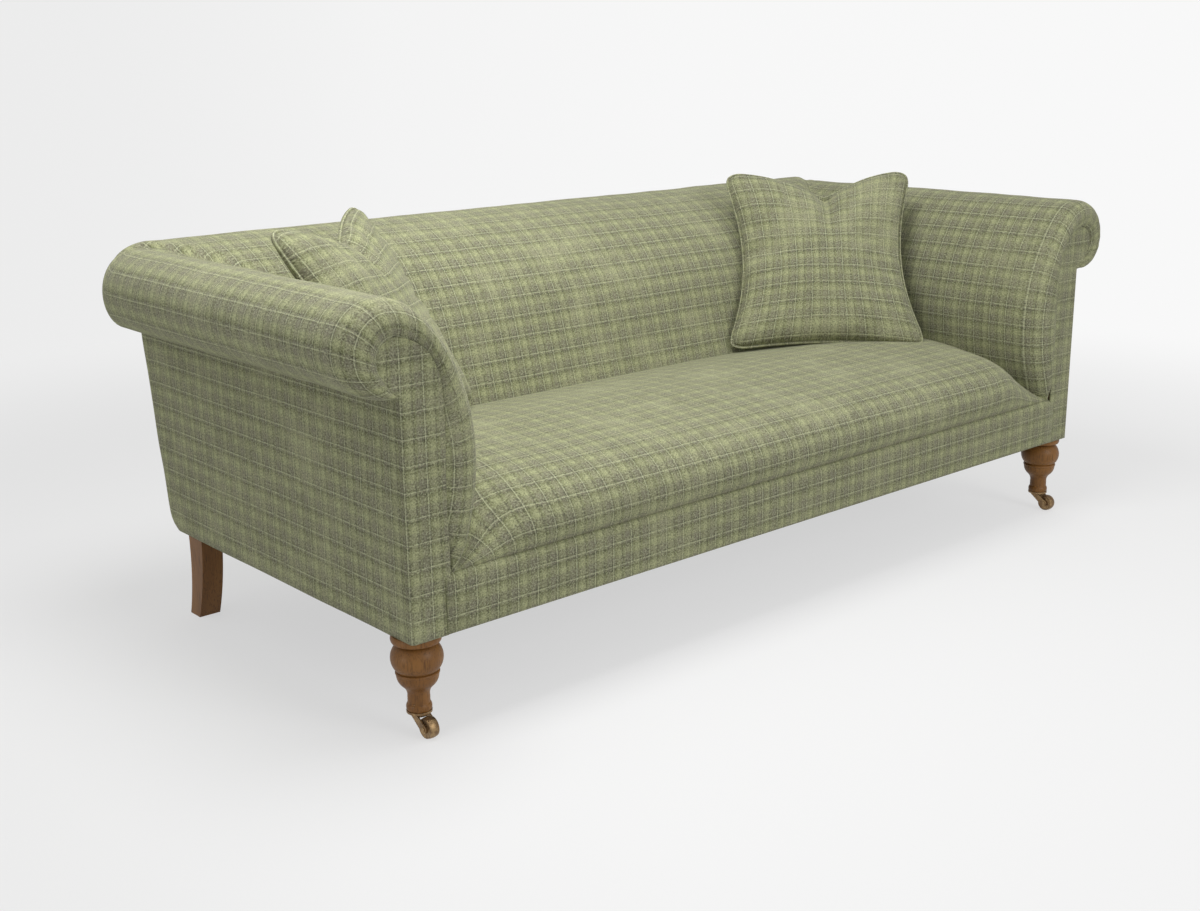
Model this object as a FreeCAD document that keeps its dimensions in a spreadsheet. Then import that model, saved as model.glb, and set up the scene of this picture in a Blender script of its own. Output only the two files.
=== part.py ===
import FreeCAD, Part
import math
import os

import Sketcher

# Scroll-arm sofa on turned front legs with castors, in millimetres.
# X runs along the sofa, -Y is the front, Z is up from the floor.
# The origin is on the floor under the middle of the overall box.

DIMENSIONS = {
    "base_half_width": 978,
    "base_bottom": 184,
    "base_corner_r": 35,
    "base_rear_y": 872,
    "seam_height": 295,
    "skin": 2.5,
    "panel_thick": 4,
    "arm_roll_overhang": 21,
    "arm_roll_z": 683,
    "arm_roll_r": 81,
    "arm_crest_r": 110,
    "arm_foot_inset": 92,
    "arm_bulge_inset": 158,
    "arm_bulge_z": 485,
    "arm_front_round": 26,
    "back_roll_overhang": 19,
    "back_roll_z": 694,
    "back_roll_r": 81,
    "back_roll_end": 42,
    "back_crest_r": 140,
    "back_foot_inset": 342,
    "back_break_inset": 260,
    "back_break_z": 550,
    "roll_corner_r": 52,
    "rail_height": 78,
    "rail_thick": 34,
    "rail_lift": 6,
    "cross_rail_x": 300,
    "cross_rail_height": 60,
    "block_length": 70,
    "rear_block_length": 94,
    "post_width": 38,
    "post_depth": 64,
    "back_post_x": 450,
    "top_rail_width": 76,
    "top_rail_height": 56,
    "stuffing_rail_height": 44,
    "stuffing_rail_thick": 24,
    "stuffing_rail_rise": 36,
    "arm_board_thick": 22,
    "arm_board_inset": 74,
    "arm_board_gap": 4,
    "scroll_core_r": 40,
    "web_width": 50,
    "web_thick": 2,
    "web_gap": 2,
    "back_web_count": 8,
    "arm_web_count": 4,
    "spring_wire": 3.6,
    "spring_width": 50,
    "spring_pitch": 26,
    "spring_count": 12,
    "spring_bearing": 22,
    "clip_thick": 1.6,
    "clip_length": 24,
    "hessian_thick": 1.5,
    "seat_seam_set": 3,
    "seat_nose_y": 125,
    "seat_nose_z": 402,
    "seat_nose_end_z": 339,
    "seat_nose_swell": 26,
    "seat_crown_z": 427,
    "seat_end_crown_z": 390,
    "seat_rear_z": 400,
    "seat_corner_run": 190,
    "facing_thick": 4,
    "facing_inner_inset": 76,
    "facing_waist_inset": 82,
    "facing_waist_z": 510,
    "facing_head_inset": 20,
    "facing_head_z": 692,
    "facing_eye_overhang": 32,
    "facing_eye_z": 650,
    "dust_thick": 1,
    "leg_inset": 38,
    "leg_y": 47,
    "leg_disc_r": 44,
    "leg_disc_height": 13,
    "leg_neck_r": 31,
    "leg_belly_r": 45,
    "leg_belly_z": 148,
    "leg_waist_r": 35.5,
    "leg_waist_z": 118,
    "leg_ring_r": 38,
    "leg_vase_r": 27,
    "leg_vase_z": 90,
    "leg_cove_r": 19.6,
    "leg_cove_z": 70,
    "leg_foot_r": 22.5,
    "leg_foot_height": 12,
    "rear_leg_inset": 12,
    "rear_leg_width": 46,
    "rear_leg_top_inset": 100,
    "rear_leg_top_depth": 56,
    "rear_leg_foot_inset": 63,
    "rear_leg_foot_depth": 40,
    "rear_leg_sweep": 9,
    "bolt_r": 4,
    "bolt_in_leg": 40,
    "bolt_in_block": 46,
    "nut_r": 10,
    "nut_thick": 7,
    "castor_lift": 26,
    "castor_plate_r": 22.5,
    "castor_plate_thick": 4,
    "castor_screw_r": 1.8,
    "castor_screw_ring": 18,
    "castor_screw_length": 16,
    "castor_pin_r": 4,
    "castor_head_r": 7,
    "castor_head_thick": 2.5,
    "swivel_disc_r": 15,
    "swivel_disc_thick": 6,
    "wheel_r": 19,
    "wheel_width": 20,
    "wheel_trail": 27,
    "axle_r": 3,
    "axle_head_r": 5,
    "axle_head_thick": 1.5,
    "cheek_thick": 3,
    "cheek_round": 8,
    "running_gap": 0.05,
    "side_gap": 0.4,
    "cushion_half": 230,
    "cushion_corner_r": 16,
    "cushion_dip": 34,
    "cushion_front_crown": 72,
    "cushion_rear_crown": 46,
    "cushion_edge_half": 4,
    "cushion_skin": 2,
    "piping_r": 4,
    "right_cushion_inset": 368,
    "left_cushion_inset": 298,
    "cushion_inset_y": 382,
    "cushion_z": 617,
    "cushion_yaw": 40.5,
    "cushion_lean": 30,
    "soft_gap": 0.3,
}

# Places that follow the lower body's side or rear
PLACES = {
    "arm_roll_x": ("base_half_width", "+", "arm_roll_overhang"),
    "arm_foot_x": ("base_half_width", "-", "arm_foot_inset"),
    "arm_bulge_x": ("base_half_width", "-", "arm_bulge_inset"),
    "arm_board_inner_x": ("base_half_width", "-", "arm_board_inset"),
    "facing_inner_x": ("base_half_width", "-", "facing_inner_inset"),
    "facing_waist_x": ("base_half_width", "-", "facing_waist_inset"),
    "facing_head_x": ("base_half_width", "-", "facing_head_inset"),
    "facing_eye_x": ("base_half_width", "+", "facing_eye_overhang"),
    "leg_x": ("base_half_width", "-", "leg_inset"),
    "rear_leg_x": ("base_half_width", "-", "rear_leg_inset"),
    "back_roll_y": ("base_rear_y", "+", "back_roll_overhang"),
    "back_foot_y": ("base_rear_y", "-", "back_foot_inset"),
    "back_break_y": ("base_rear_y", "-", "back_break_inset"),
    "rear_leg_top_y": ("base_rear_y", "-", "rear_leg_top_inset"),
    "rear_leg_foot_y": ("base_rear_y", "-", "rear_leg_foot_inset"),
    "cushion_y": ("base_rear_y", "-", "cushion_inset_y"),
}


class Size:
    """A number that also knows the sheet expression it comes from."""

    def __init__(self, value, text):
        self.value = float(value)
        self.text = text

    def combine(self, other, sign, flipped=False):
        other = other if isinstance(other, Size) else Size(other, repr(other))
        first, second = (other, self) if flipped else (self, other)
        results = {
            "+": first.value + second.value,
            "-": first.value - second.value,
            "*": first.value * second.value,
            "/": first.value / second.value if second.value else 0.0,
        }
        return Size(results[sign], "(" + first.text + " " + sign + " " + second.text + ")")

    def __add__(self, other):
        return self.combine(other, "+")

    def __radd__(self, other):
        return self.combine(other, "+", True)

    def __sub__(self, other):
        return self.combine(other, "-")

    def __rsub__(self, other):
        return self.combine(other, "-", True)

    def __mul__(self, other):
        return self.combine(other, "*")

    def __rmul__(self, other):
        return self.combine(other, "*", True)

    def __truediv__(self, other):
        return self.combine(other, "/")

    def __neg__(self):
        return self.combine(0, "-", True)

    def root(self):
        return Size(math.sqrt(self.value), "sqrt(" + self.text + ")")

    def __float__(self):
        return self.value


class Sheet:
    """The driving dimensions, read as attributes."""

    def __init__(self, values):
        self.values = values

    def __getattr__(self, name):
        if name in PLACES:
            edge, sign, distance = PLACES[name]
            return getattr(self, edge).combine(getattr(self, distance), sign)
        return Size(self.values[name], "dims." + name)


doc = FreeCAD.newDocument("sofa")
cells = doc.addObject("Spreadsheet::Sheet", "dims")
for row, (alias, amount) in enumerate(DIMENSIONS.items(), start=1):
    cells.set("A%d" % row, alias)
    cells.set("B%d" % row, str(amount))
    cells.setAlias("B%d" % row, alias)
doc.recompute()

d = Sheet(DIMENSIONS)
front_y = (d.back_roll_y + d.back_roll_r) / -2
rail_bottom = d.base_bottom + d.rail_lift
rail_top = rail_bottom + d.rail_height
castor_top = d.wheel_r + d.castor_lift
board_x = d.arm_board_inner_x
rail_outer_x = d.base_half_width - d.panel_thick - d.arm_board_gap
front_rail_y = d.facing_thick
block_front_y = d.facing_thick + d.arm_board_thick
rear_rail_y = d.base_rear_y - d.panel_thick - 4 - d.rail_thick
rear_block_y = rear_rail_y + d.rail_thick - d.rear_block_length
arm_core_z = d.arm_roll_z - d.scroll_core_r
arm_core_x0 = d.arm_roll_x - d.top_rail_width / 2
arm_core_x1 = d.arm_roll_x + d.top_rail_width / 2
back_core_z = d.back_roll_z - d.scroll_core_r
back_core_y0 = d.back_roll_y - d.top_rail_width / 2
back_core_y1 = d.back_roll_y + d.top_rail_width / 2
post_foot_y = rear_rail_y + d.rail_thick - d.post_depth
post_head_y = back_core_y1 - d.post_depth
subparts = []


# Helpers that make bound primitives

def bind(obj, prop, size):
    if isinstance(size, Size):
        obj.setExpression(prop, size.text)
    else:
        setattr(obj, prop, size)


def place(obj, x, y, z):
    for axis, size in (("x", x), ("y", y), ("z", z)):
        size = size if isinstance(size, Size) else Size(size, repr(size))
        obj.setExpression("Placement.Base." + axis, size.text)


def box(name, length, width, height, x, y, z):
    """A box from its low corner; y is measured back from the front plane."""
    obj = doc.addObject("Part::Box", name)
    bind(obj, "Length", length)
    bind(obj, "Width", width)
    bind(obj, "Height", height)
    place(obj, x, front_y + y, z)
    return obj


def rod(name, radius, height, x, y, z, axis="z"):
    obj = doc.addObject("Part::Cylinder", name)
    bind(obj, "Radius", radius)
    bind(obj, "Height", height)
    place(obj, x, front_y + y, z)
    turns = {"x": ((0, 1, 0), 90), "y": ((1, 0, 0), -90), "z": ((0, 0, 1), 0)}
    direction, angle = turns[axis]
    obj.Placement.Rotation = FreeCAD.Rotation(FreeCAD.Vector(*direction), angle)
    return obj


def fuse(name, pieces):
    obj = doc.addObject("Part::MultiFuse", name)
    obj.Shapes = pieces
    return obj


def cut(name, base, tools):
    tool = tools[0] if len(tools) == 1 else fuse(name + "_holes", tools)
    obj = doc.addObject("Part::Cut", name)
    obj.Base = base
    obj.Tool = tool
    return obj


def group(name, pieces):
    obj = doc.addObject("Part::Compound", name)
    obj.Links = pieces
    return obj


def mirror(name, source):
    obj = doc.addObject("Part::Mirroring", name)
    obj.Source = source
    obj.Normal = FreeCAD.Vector(1, 0, 0)
    obj.Base = FreeCAD.Vector(0, 0, 0)
    return obj


def feature(name, shape, x=0.0, y=0.0, z=0.0, turn=FreeCAD.Rotation()):
    """A shape made in code, measured from the front plane."""
    obj = doc.addObject("Part::Feature", name)
    obj.Shape = Part.makeCompound([shape])
    obj.Placement = FreeCAD.Placement(FreeCAD.Vector(x, float(front_y) + y, z), turn)
    return obj


def keep(obj, label):
    obj.Label = label
    subparts.append(obj)
    return obj


def keep_pair(obj, label):
    """The piece on the right-hand side, +X, and its twin on the left."""
    keep(obj, label + "_right")
    keep(mirror(label + "_twin", obj), label + "_left")
    return obj


# Helpers for bodies turned or padded from a sketch

def plane_of(body, role):
    return [plane for plane in body.Origin.OriginFeatures if plane.Role == role][0]


def outline(body, plane, corners, arcs=()):
    """A closed sketch; arcs maps an edge's number to a point that its arc runs through."""
    arcs = dict(arcs)
    sketch = body.newObject("Sketcher::SketchObject", body.Name + "_outline")
    sketch.AttachmentSupport = [(plane_of(body, plane), "")]
    sketch.MapMode = "FlatFace"
    points = [FreeCAD.Vector(float(x), float(y), 0) for x, y in corners]
    count = len(points)
    for index in range(count):
        first, second = points[index], points[(index + 1) % count]
        if index in arcs:
            through = FreeCAD.Vector(float(arcs[index][0]), float(arcs[index][1]), 0)
            sketch.addGeometry(Part.Arc(first, through, second), False)
        else:
            sketch.addGeometry(Part.LineSegment(first, second), False)
    starts = {}
    for index in range(count):
        starts[index] = 1 if sketch.getPoint(index, 1).distanceToPoint(points[index]) < 1e-6 else 2
    for index in range(count):
        after = (index + 1) % count
        sketch.addConstraint(Sketcher.Constraint(
            "Coincident", index, 3 - starts[index], after, starts[after]))
    for index, (x, y) in enumerate(corners):
        pin_down(sketch, index, starts[index], x, y)
    for index, (x, y) in arcs.items():
        point = sketch.addGeometry(Part.Point(FreeCAD.Vector(float(x), float(y), 0)), True)
        sketch.addConstraint(Sketcher.Constraint("PointOnObject", point, 1, index))
        pin_down(sketch, point, 1, x, y)
    return sketch


def pin_down(sketch, geometry, end, x, y):
    for kind, axis, size in (("DistanceX", -2, x), ("DistanceY", -1, y)):
        if float(size) == 0.0:
            sketch.addConstraint(Sketcher.Constraint("PointOnObject", geometry, end, axis))
            continue
        number = sketch.addConstraint(Sketcher.Constraint(
            kind, -1, 1, geometry, end, float(size)))
        if isinstance(size, Size):
            sketch.setExpression("Constraints[%d]" % number, size.text)


def turned(name, corners, arcs=()):
    """A body of revolution about its own Z axis from (radius, height) corners."""
    body = doc.addObject("PartDesign::Body", name)
    sketch = outline(body, "XZ_Plane", corners, arcs)
    spin = body.newObject("PartDesign::Revolution", name + "_turning")
    spin.Profile = sketch
    spin.ReferenceAxis = (sketch, ["V_Axis"])
    spin.Angle = 360
    return body


def padded(name, plane, corners, length, arcs=()):
    """A plate of one thickness, centred on its sketch plane."""
    body = doc.addObject("PartDesign::Body", name)
    sketch = outline(body, plane, corners, arcs)
    pad = body.newObject("PartDesign::Pad", name + "_pad")
    pad.Profile = sketch
    bind(pad, "Length", length)
    pad.Midplane = True
    return body


# Curves of the upholstered sections, in plain numbers read from the sheet

def vec(x, y, z):
    return FreeCAD.Vector(x, y, z)


def number(name):
    return float(getattr(d, name))


SKIN = number("skin")
RAIL_TOP = float(rail_top)
WIRE_TOP = RAIL_TOP + number("clip_thick") + number("spring_wire")
DECK_Z = WIRE_TOP + number("hessian_thick") + 2 * number("soft_gap")
REACH = 3000.0


def crest_curve(start, heading, crest, crest_r):
    """Two arcs from a sloping line up to a level crest; all points are (u, z) pairs."""
    length = math.hypot(*heading)
    normal = (heading[1] / length, -heading[0] / length)
    centre_b = (crest[0], crest[1] - crest_r)
    gap = (start[0] - centre_b[0], start[1] - centre_b[1])
    across = gap[0] * normal[0] + gap[1] * normal[1]
    radius_a = (crest_r ** 2 - gap[0] ** 2 - gap[1] ** 2) / (2 * across + 2 * crest_r)
    centre_a = (start[0] + radius_a * normal[0], start[1] + radius_a * normal[1])
    angle_start = math.atan2(start[1] - centre_a[1], start[0] - centre_a[0])
    angle_meet = math.atan2(centre_b[1] - centre_a[1], centre_b[0] - centre_a[0])

    def around(centre, radius, angle):
        return centre[0] + radius * math.cos(angle), centre[1] + radius * math.sin(angle)

    meet = around(centre_a, radius_a, angle_meet)
    return [("arc", around(centre_a, radius_a, (angle_start + angle_meet) / 2), meet),
            ("arc", around(centre_b, crest_r, (angle_meet + math.pi / 2) / 2), crest)]


def wire_face(start, steps, to_point):
    """A face from a start point and steps that are lines or arcs, closed by a line."""
    edges = []
    here = start
    for kind, *targets in steps:
        if kind == "arc":
            curve = Part.Arc(to_point(*here), to_point(*targets[0]), to_point(*targets[1]))
        else:
            curve = Part.LineSegment(to_point(*here), to_point(*targets[0]))
        edges.append(curve.toShape())
        here = targets[-1]
    if math.dist(here, start) > 1e-6:
        edges.append(Part.LineSegment(to_point(*here), to_point(*start)).toShape())
    return Part.Face(Part.Wire(edges))


def arm_point(u, z):
    return vec(u, 0, z)


def back_point(u, z):
    return vec(0, u, z)


def panel_y(z, inset):
    """The leaning outer back, measured in from its face."""
    top_y, top_z = back_top()
    rise = (z - number("base_bottom")) / (top_z - number("base_bottom"))
    return number("base_rear_y") + rise * (top_y - number("base_rear_y")) - inset


def back_top():
    """Where the outer back meets the underside of the back roll."""
    angle = math.radians(number("back_roll_end"))
    reach = number("back_roll_r")
    y = number("back_roll_y") + reach * math.cos(angle) + number("panel_thick")
    return y, number("back_roll_z") - reach * math.sin(angle)


def arm_section(inset):
    """The arm's padded section: inner face, crest, roll and the outer panel's inside."""
    roll = (number("arm_roll_x"), number("arm_roll_z"))
    roll_r = number("arm_roll_r") - inset
    foot = (number("arm_foot_x") + inset, DECK_Z)
    bulge = (number("arm_bulge_x") + inset, number("arm_bulge_z"))
    rise, run = bulge[1] - foot[1], foot[0] - bulge[0]
    belly_r = (rise ** 2 + run ** 2) / (2 * run)
    half = math.asin(rise / belly_r) / 2
    middle = (bulge[0] + belly_r * (1 - math.cos(half)), bulge[1] - belly_r * math.sin(half))
    steps = [("arc", middle, bulge)]
    steps += crest_curve(bulge, (0, 1), (roll[0], roll[1] + roll_r), number("arm_crest_r") - inset)
    steps.append(("arc", (roll[0] + roll_r, roll[1]), (roll[0], roll[1] - roll_r)))
    inner = number("base_half_width") - number("panel_thick")
    turn = math.asin((roll[0] - inner) / roll_r)
    steps.append(("arc", (roll[0] - roll_r * math.sin(turn / 2), roll[1] - roll_r * math.cos(turn / 2)),
                  (inner, roll[1] - roll_r * math.cos(turn))))
    steps.append(("line", (inner, DECK_Z)))
    return wire_face(foot, steps, arm_point)


def back_section(inset):
    """The back's padded section, closed by the inside of the leaning outer panel."""
    roll = (number("back_roll_y"), number("back_roll_z"))
    roll_r = number("back_roll_r") - inset
    lean = (number("back_break_y") - number("back_foot_y"), number("back_break_z") - DECK_Z)
    shift = inset * math.hypot(*lean) / lean[1]
    foot = (number("back_foot_y") + shift, DECK_Z)
    bend = (foot[0] + lean[0], foot[1] + lean[1])
    steps = [("line", bend)]
    steps += crest_curve(bend, lean, (roll[0], roll[1] + roll_r), number("back_crest_r") - inset)
    end = math.radians(number("back_roll_end"))
    half = math.pi / 4 - end / 2
    steps.append(("arc", (roll[0] + roll_r * math.cos(half), roll[1] + roll_r * math.sin(half)),
                  (roll[0] + roll_r * math.cos(end), roll[1] - roll_r * math.sin(end))))
    steps.append(("line", (panel_y(DECK_Z, number("panel_thick")), DECK_Z)))
    return wire_face(foot, steps, back_point)


def corner_wedge(face, along_arm):
    """The eighth of a turn that carries a roll round to the mitre at the right rear corner."""
    axis_x = number("arm_roll_x") - number("roll_corner_r")
    axis_y = number("back_roll_y") - number("roll_corner_r")
    low = min(number("arm_roll_z") - number("arm_roll_r"), number("back_roll_z") - number("back_roll_r"))
    base = vec(axis_x, axis_y, 0)
    if along_arm:
        window = Part.makeBox(REACH, 1, REACH, vec(axis_x, -0.5, low))
        piece = face.common(window)
        piece.translate(vec(0, axis_y, 0))
        return Part.makeSolid(piece.revolve(base, vec(0, 0, 1), 45).Shells[0])
    window = Part.makeBox(1, REACH, REACH, vec(-0.5, axis_y, low))
    piece = face.common(window)
    piece.translate(vec(axis_x, 0, 0))
    return Part.makeSolid(piece.revolve(base, vec(0, 0, 1), -45).Shells[0])


def arm_block(inset):
    """The right arm as one closed form with a rounded front, up to the corner mitre."""
    face = arm_section(inset)
    axis_y = number("back_roll_y") - number("roll_corner_r")
    block = face.extrude(vec(0, REACH / 3, 0))
    block.translate(vec(0, inset, 0))
    front = []
    for edge in block.Edges:
        box_of = edge.BoundBox
        flat = abs(box_of.YMax - inset) < 1e-3 and abs(box_of.YMin - inset) < 1e-3
        if flat and edge.Curve.TypeId == "Part::GeomCircle" and box_of.ZMax > number("arm_roll_z") - 70:
            front.append(edge)
    block = block.makeFillet(number("arm_front_round") - inset, front)
    straight = block.common(Part.makeBox(REACH, axis_y, REACH, vec(0, 0, 0))).common(mitre_side())
    return straight.fuse(corner_wedge(face, True)).removeSplitter()


def mitre_side():
    """All of space on the arm's side of the right rear mitre plane."""
    corner = vec(number("arm_roll_x"), number("back_roll_y"), 0)
    block = Part.makeBox(2 * REACH, REACH, 2 * REACH, vec(-REACH, -REACH, -REACH))
    block.rotate(vec(0, 0, 0), vec(0, 0, 1), 45)
    block.translate(corner)
    return block


def mirrored(shape):
    return shape.mirror(vec(0, 0, 0), vec(1, 0, 0))


def back_block(inset):
    """The whole back as one closed form, with both corner wedges."""
    face = back_section(inset)
    axis_x = number("arm_roll_x") - number("roll_corner_r")
    straight = face.extrude(vec(2 * axis_x, 0, 0))
    straight.translate(vec(-axis_x, 0, 0))
    wedge = corner_wedge(face, False)
    return straight.fuse([wedge, mirrored(wedge)]).removeSplitter()


def tested(name, shape):
    solids = [solid for solid in shape.Solids if solid.Volume > 50]
    print(name, "solids", len(solids), "volume", round(sum(s.Volume for s in solids)), shape.isValid())
    return solids[0] if len(solids) == 1 else Part.makeCompound(solids)


def rounded_rectangle(half_x, low_y, high_y, z, corner):
    """A closed wire with four round corners, level at z."""
    turn = corner * (1 - math.sqrt(0.5))
    flat_x, flat_low, flat_high = half_x - corner, low_y + corner, high_y - corner
    bend_x, bend_low, bend_high = half_x - turn, low_y + turn, high_y - turn
    edges = []
    rows = [
        ((-flat_x, low_y), (flat_x, low_y), (bend_x, bend_low), (half_x, flat_low)),
        ((half_x, flat_low), (half_x, flat_high), (bend_x, bend_high), (flat_x, high_y)),
        ((flat_x, high_y), (-flat_x, high_y), (-bend_x, bend_high), (-half_x, flat_high)),
        ((-half_x, flat_high), (-half_x, flat_low), (-bend_x, bend_low), (-flat_x, low_y)),
    ]
    for row in rows:
        start, bend, middle, end = [vec(x, y, z) for x, y in row]
        edges.append(Part.LineSegment(start, bend).toShape())
        edges.append(Part.Arc(bend, middle, end).toShape())
    return Part.Wire(edges)


def skirt_block(inset):
    """The straight-sided lower body with its leaning back, as a closed form."""
    wires = []
    for z in (number("base_bottom"), back_top()[1]):
        wires.append(rounded_rectangle(
            number("base_half_width") - inset, inset, panel_y(z, inset), z,
            number("base_corner_r") - inset))
    return Part.makeLoft(wires, True, True)


def facing_face():
    """The front panel of the arm: a waisted upright under a scroll-shaped head."""
    inner_x = number("facing_inner_x")
    waist_x, waist_z = number("facing_waist_x"), number("facing_waist_z")
    head_x, head_z = number("facing_head_x"), number("facing_head_z")
    eye_x, eye_z = number("facing_eye_x"), number("facing_eye_z")
    half_z = (waist_z + head_z) / 2
    side = number("base_half_width") - number("base_corner_r")
    neck_z = number("arm_roll_z") - number("arm_roll_r")
    low = number("base_bottom")
    start = (inner_x, low)
    steps = [
        ("line", (inner_x, number("seam_height"))),
        ("line", (waist_x, waist_z)),
        ("arc", (waist_x + 12, half_z + 22), (head_x, head_z)),
        ("arc", (head_x + 36, head_z - 10), (eye_x, eye_z)),
        ("arc", (eye_x - 6, eye_z - 28), (side + 20, neck_z + 4)),
        ("line", (side, neck_z)),
        ("line", (side, low)),
    ]
    return wire_face(start, steps, arm_point)


def zone(x0, x1, y0, y1, z0, z1):
    return Part.makeBox(x1 - x0, y1 - y0, z1 - z0, vec(x0, y0, z0))


def both(shape):
    return [shape, mirrored(shape)]


def seat_face(x, inset):
    """The seat's profile at one place along its length, full in the middle, low at the arms."""
    end = float(d.arm_foot_x)
    near = max(0.0, min(1.0, (end - abs(x)) / number("seat_corner_run")))
    full = near * near * (3 - 2 * near)
    along = 1 - (x / end) ** 2
    nose_z = number("seat_nose_end_z") + full * (number("seat_nose_z") - number("seat_nose_end_z"))
    crown_z = number("seat_end_crown_z") + full * (
        number("seat_rear_z") - number("seat_end_crown_z")) + along * (
        number("seat_crown_z") - number("seat_rear_z"))
    rear_y = number("back_foot_y") + 70
    nose_y = number("seat_nose_y")
    swell = number("seat_nose_swell") * full
    seam = (inset + number("seat_seam_set"), number("seam_height") - inset)
    nose = (nose_y, nose_z - inset)
    chord = (nose[0] - seam[0], nose[1] - seam[1])
    length = math.hypot(*chord)
    bulge = swell + 4
    mid_nose = (seam[0] + chord[0] / 2 - bulge * chord[1] / length,
                seam[1] + chord[1] / 2 + bulge * chord[0] / length)
    mid_top = ((nose_y + rear_y) / 2, crown_z - inset)
    rear = (rear_y, number("seat_rear_z") - inset)
    points = [(seam[0], DECK_Z), seam, mid_nose, nose, mid_top, rear, (rear_y, DECK_Z)]
    placed = [vec(x, u, z) for u, z in points]
    edges = [
        Part.LineSegment(placed[0], placed[1]).toShape(),
        Part.Arc(placed[1], placed[2], placed[3]).toShape(),
        Part.Arc(placed[3], placed[4], placed[5]).toShape(),
        Part.LineSegment(placed[5], placed[6]).toShape(),
        Part.LineSegment(placed[6], placed[0]).toShape(),
    ]
    return Part.Wire(edges)


def seat_block(inset):
    end = float(d.arm_foot_x)
    run = number("seat_corner_run")
    half = [end, end - run * 0.3, end - run * 0.6, end - run, (end - run) / 2]
    stations = [-x for x in half] + [0.0] + half[::-1]
    return Part.makeLoft([seat_face(x, inset) for x in stations], True, False)


def build_upholstery():
    """Covers, padding and panels, cut so that each fills its own space."""
    arm_a, arm_b = arm_block(0.0), arm_block(SKIN)
    back_a, back_b = back_block(0.0), back_block(SKIN)
    skirt = skirt_block(0.0).cut(skirt_block(number("panel_thick")))
    thick = number("facing_thick")
    side_x = number("base_half_width") - number("base_corner_r")
    neck_z = number("arm_roll_z") - number("arm_roll_r")
    low = number("base_bottom")
    plate = facing_face().extrude(vec(0, thick, 0))
    corner = skirt.common(zone(side_x, REACH, -1, number("base_corner_r"), low, neck_z))
    facing = plate.fuse(corner).removeSplitter()
    arm_a_both = both(arm_a)
    facings = both(facing)

    panel_x = number("base_half_width") - number("panel_thick")
    outside_corner = zone(side_x, panel_x, -1, number("base_corner_r"), low, neck_z + number("panel_thick"))
    outside_corner = outside_corner.cut(skirt_block(0.0))
    wall = back_frame_clear()
    board_clear = zone(float(d.arm_board_inner_x) - number("web_thick") - number("web_gap"),
                       number("base_half_width"), thick, REACH, 0, float(arm_core_z))
    core_top = float(arm_core_z + d.top_rail_height)
    core_clear = zone(float(arm_core_x0), float(arm_core_x1), thick, float(back_core_y1),
                      float(arm_core_z) - 1, core_top)
    neck_clear = zone(float(board_x), float(rail_outer_x), thick, thick + number("arm_board_thick"),
                      float(arm_core_z) - 1, number("arm_roll_z"))
    rear_clear = zone(0, float(rail_outer_x), float(back_core_y0), float(back_core_y1),
                      float(back_core_z), float(back_core_z + d.top_rail_height))
    head = Part.makeCylinder(number("scroll_core_r"), number("arm_board_thick"),
                             vec(number("arm_roll_x"), thick, number("arm_roll_z")), vec(0, 1, 0))
    board_rear_y = thick + number("arm_board_thick")
    board_upright = zone(float(board_x), panel_x, thick, board_rear_y, 0, number("arm_roll_z"))
    cover_arm = arm_a.cut([arm_b, facing, board_upright, head, outside_corner, wall])
    pad_arm = arm_b.cut([
        facing, board_clear, core_clear, neck_clear, rear_clear, head, outside_corner])

    back_full = back_a.cut(arm_a_both[0]).cut(arm_a_both[1])
    back_inner = back_b.cut(arm_a_both[0]).cut(arm_a_both[1])
    cover_back = back_full.cut(back_inner)
    pad_back = back_inner.cut([wall] + both(board_clear))

    skirt = skirt.cut(arm_a_both[0]).cut(arm_a_both[1]).cut(back_a)
    join_y = panel_y(low, 0) - 40
    side = skirt.common(zone(side_x, REACH, number("base_corner_r"), join_y, low, neck_z + 10))
    rear = skirt.common(zone(-REACH, REACH, join_y, REACH, low, REACH))
    border = zone(-number("facing_inner_x"), number("facing_inner_x"), 0, thick, low, number("seam_height"))
    border = border.cut(arm_a_both[0]).cut(arm_a_both[1])

    seat_a, seat_b = seat_block(0.0), seat_block(SKIN)
    for blocker in arm_a_both + [back_a]:
        seat_a = seat_a.cut(blocker)
        seat_b = seat_b.cut(blocker)
    seat_a = seat_a.cut(border)
    seat_b = seat_b.cut(border)
    cover_seat = seat_a.cut(seat_b)

    return {
        "arm_cover": cover_arm, "arm_padding": pad_arm, "arm_facing": facing,
        "inside_back_cover": cover_back, "back_padding": pad_back,
        "outside_arm_panel": side, "outside_back_panel": rear,
        "front_border": border, "seat_cover": cover_seat, "seat_padding": seat_b,
    }


def back_frame_clear():
    """The slanting room behind the back padding for posts, rails and webbing."""
    front_low, front_high = float(post_foot_y) - 4, float(post_head_y) - 4
    core_z, core_top = float(back_core_z), float(back_core_z + d.top_rail_height)
    points = [
        (front_low, DECK_Z - 1), (front_high, core_z),
        (float(back_core_y0), core_z), (float(back_core_y0), core_top),
        (float(back_core_y1), core_top), (float(back_core_y1), core_z),
        (REACH, core_z), (REACH, DECK_Z - 1),
    ]
    edges = []
    for index, point in enumerate(points):
        after = points[(index + 1) % len(points)]
        edges.append(Part.LineSegment(back_point(*point), back_point(*after)).toShape())
    half = float(rail_outer_x)
    block = Part.Face(Part.Wire(edges)).extrude(vec(2 * half, 0, 0))
    block.translate(vec(-half, 0, 0))
    return block


# The hardwood frame

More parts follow.
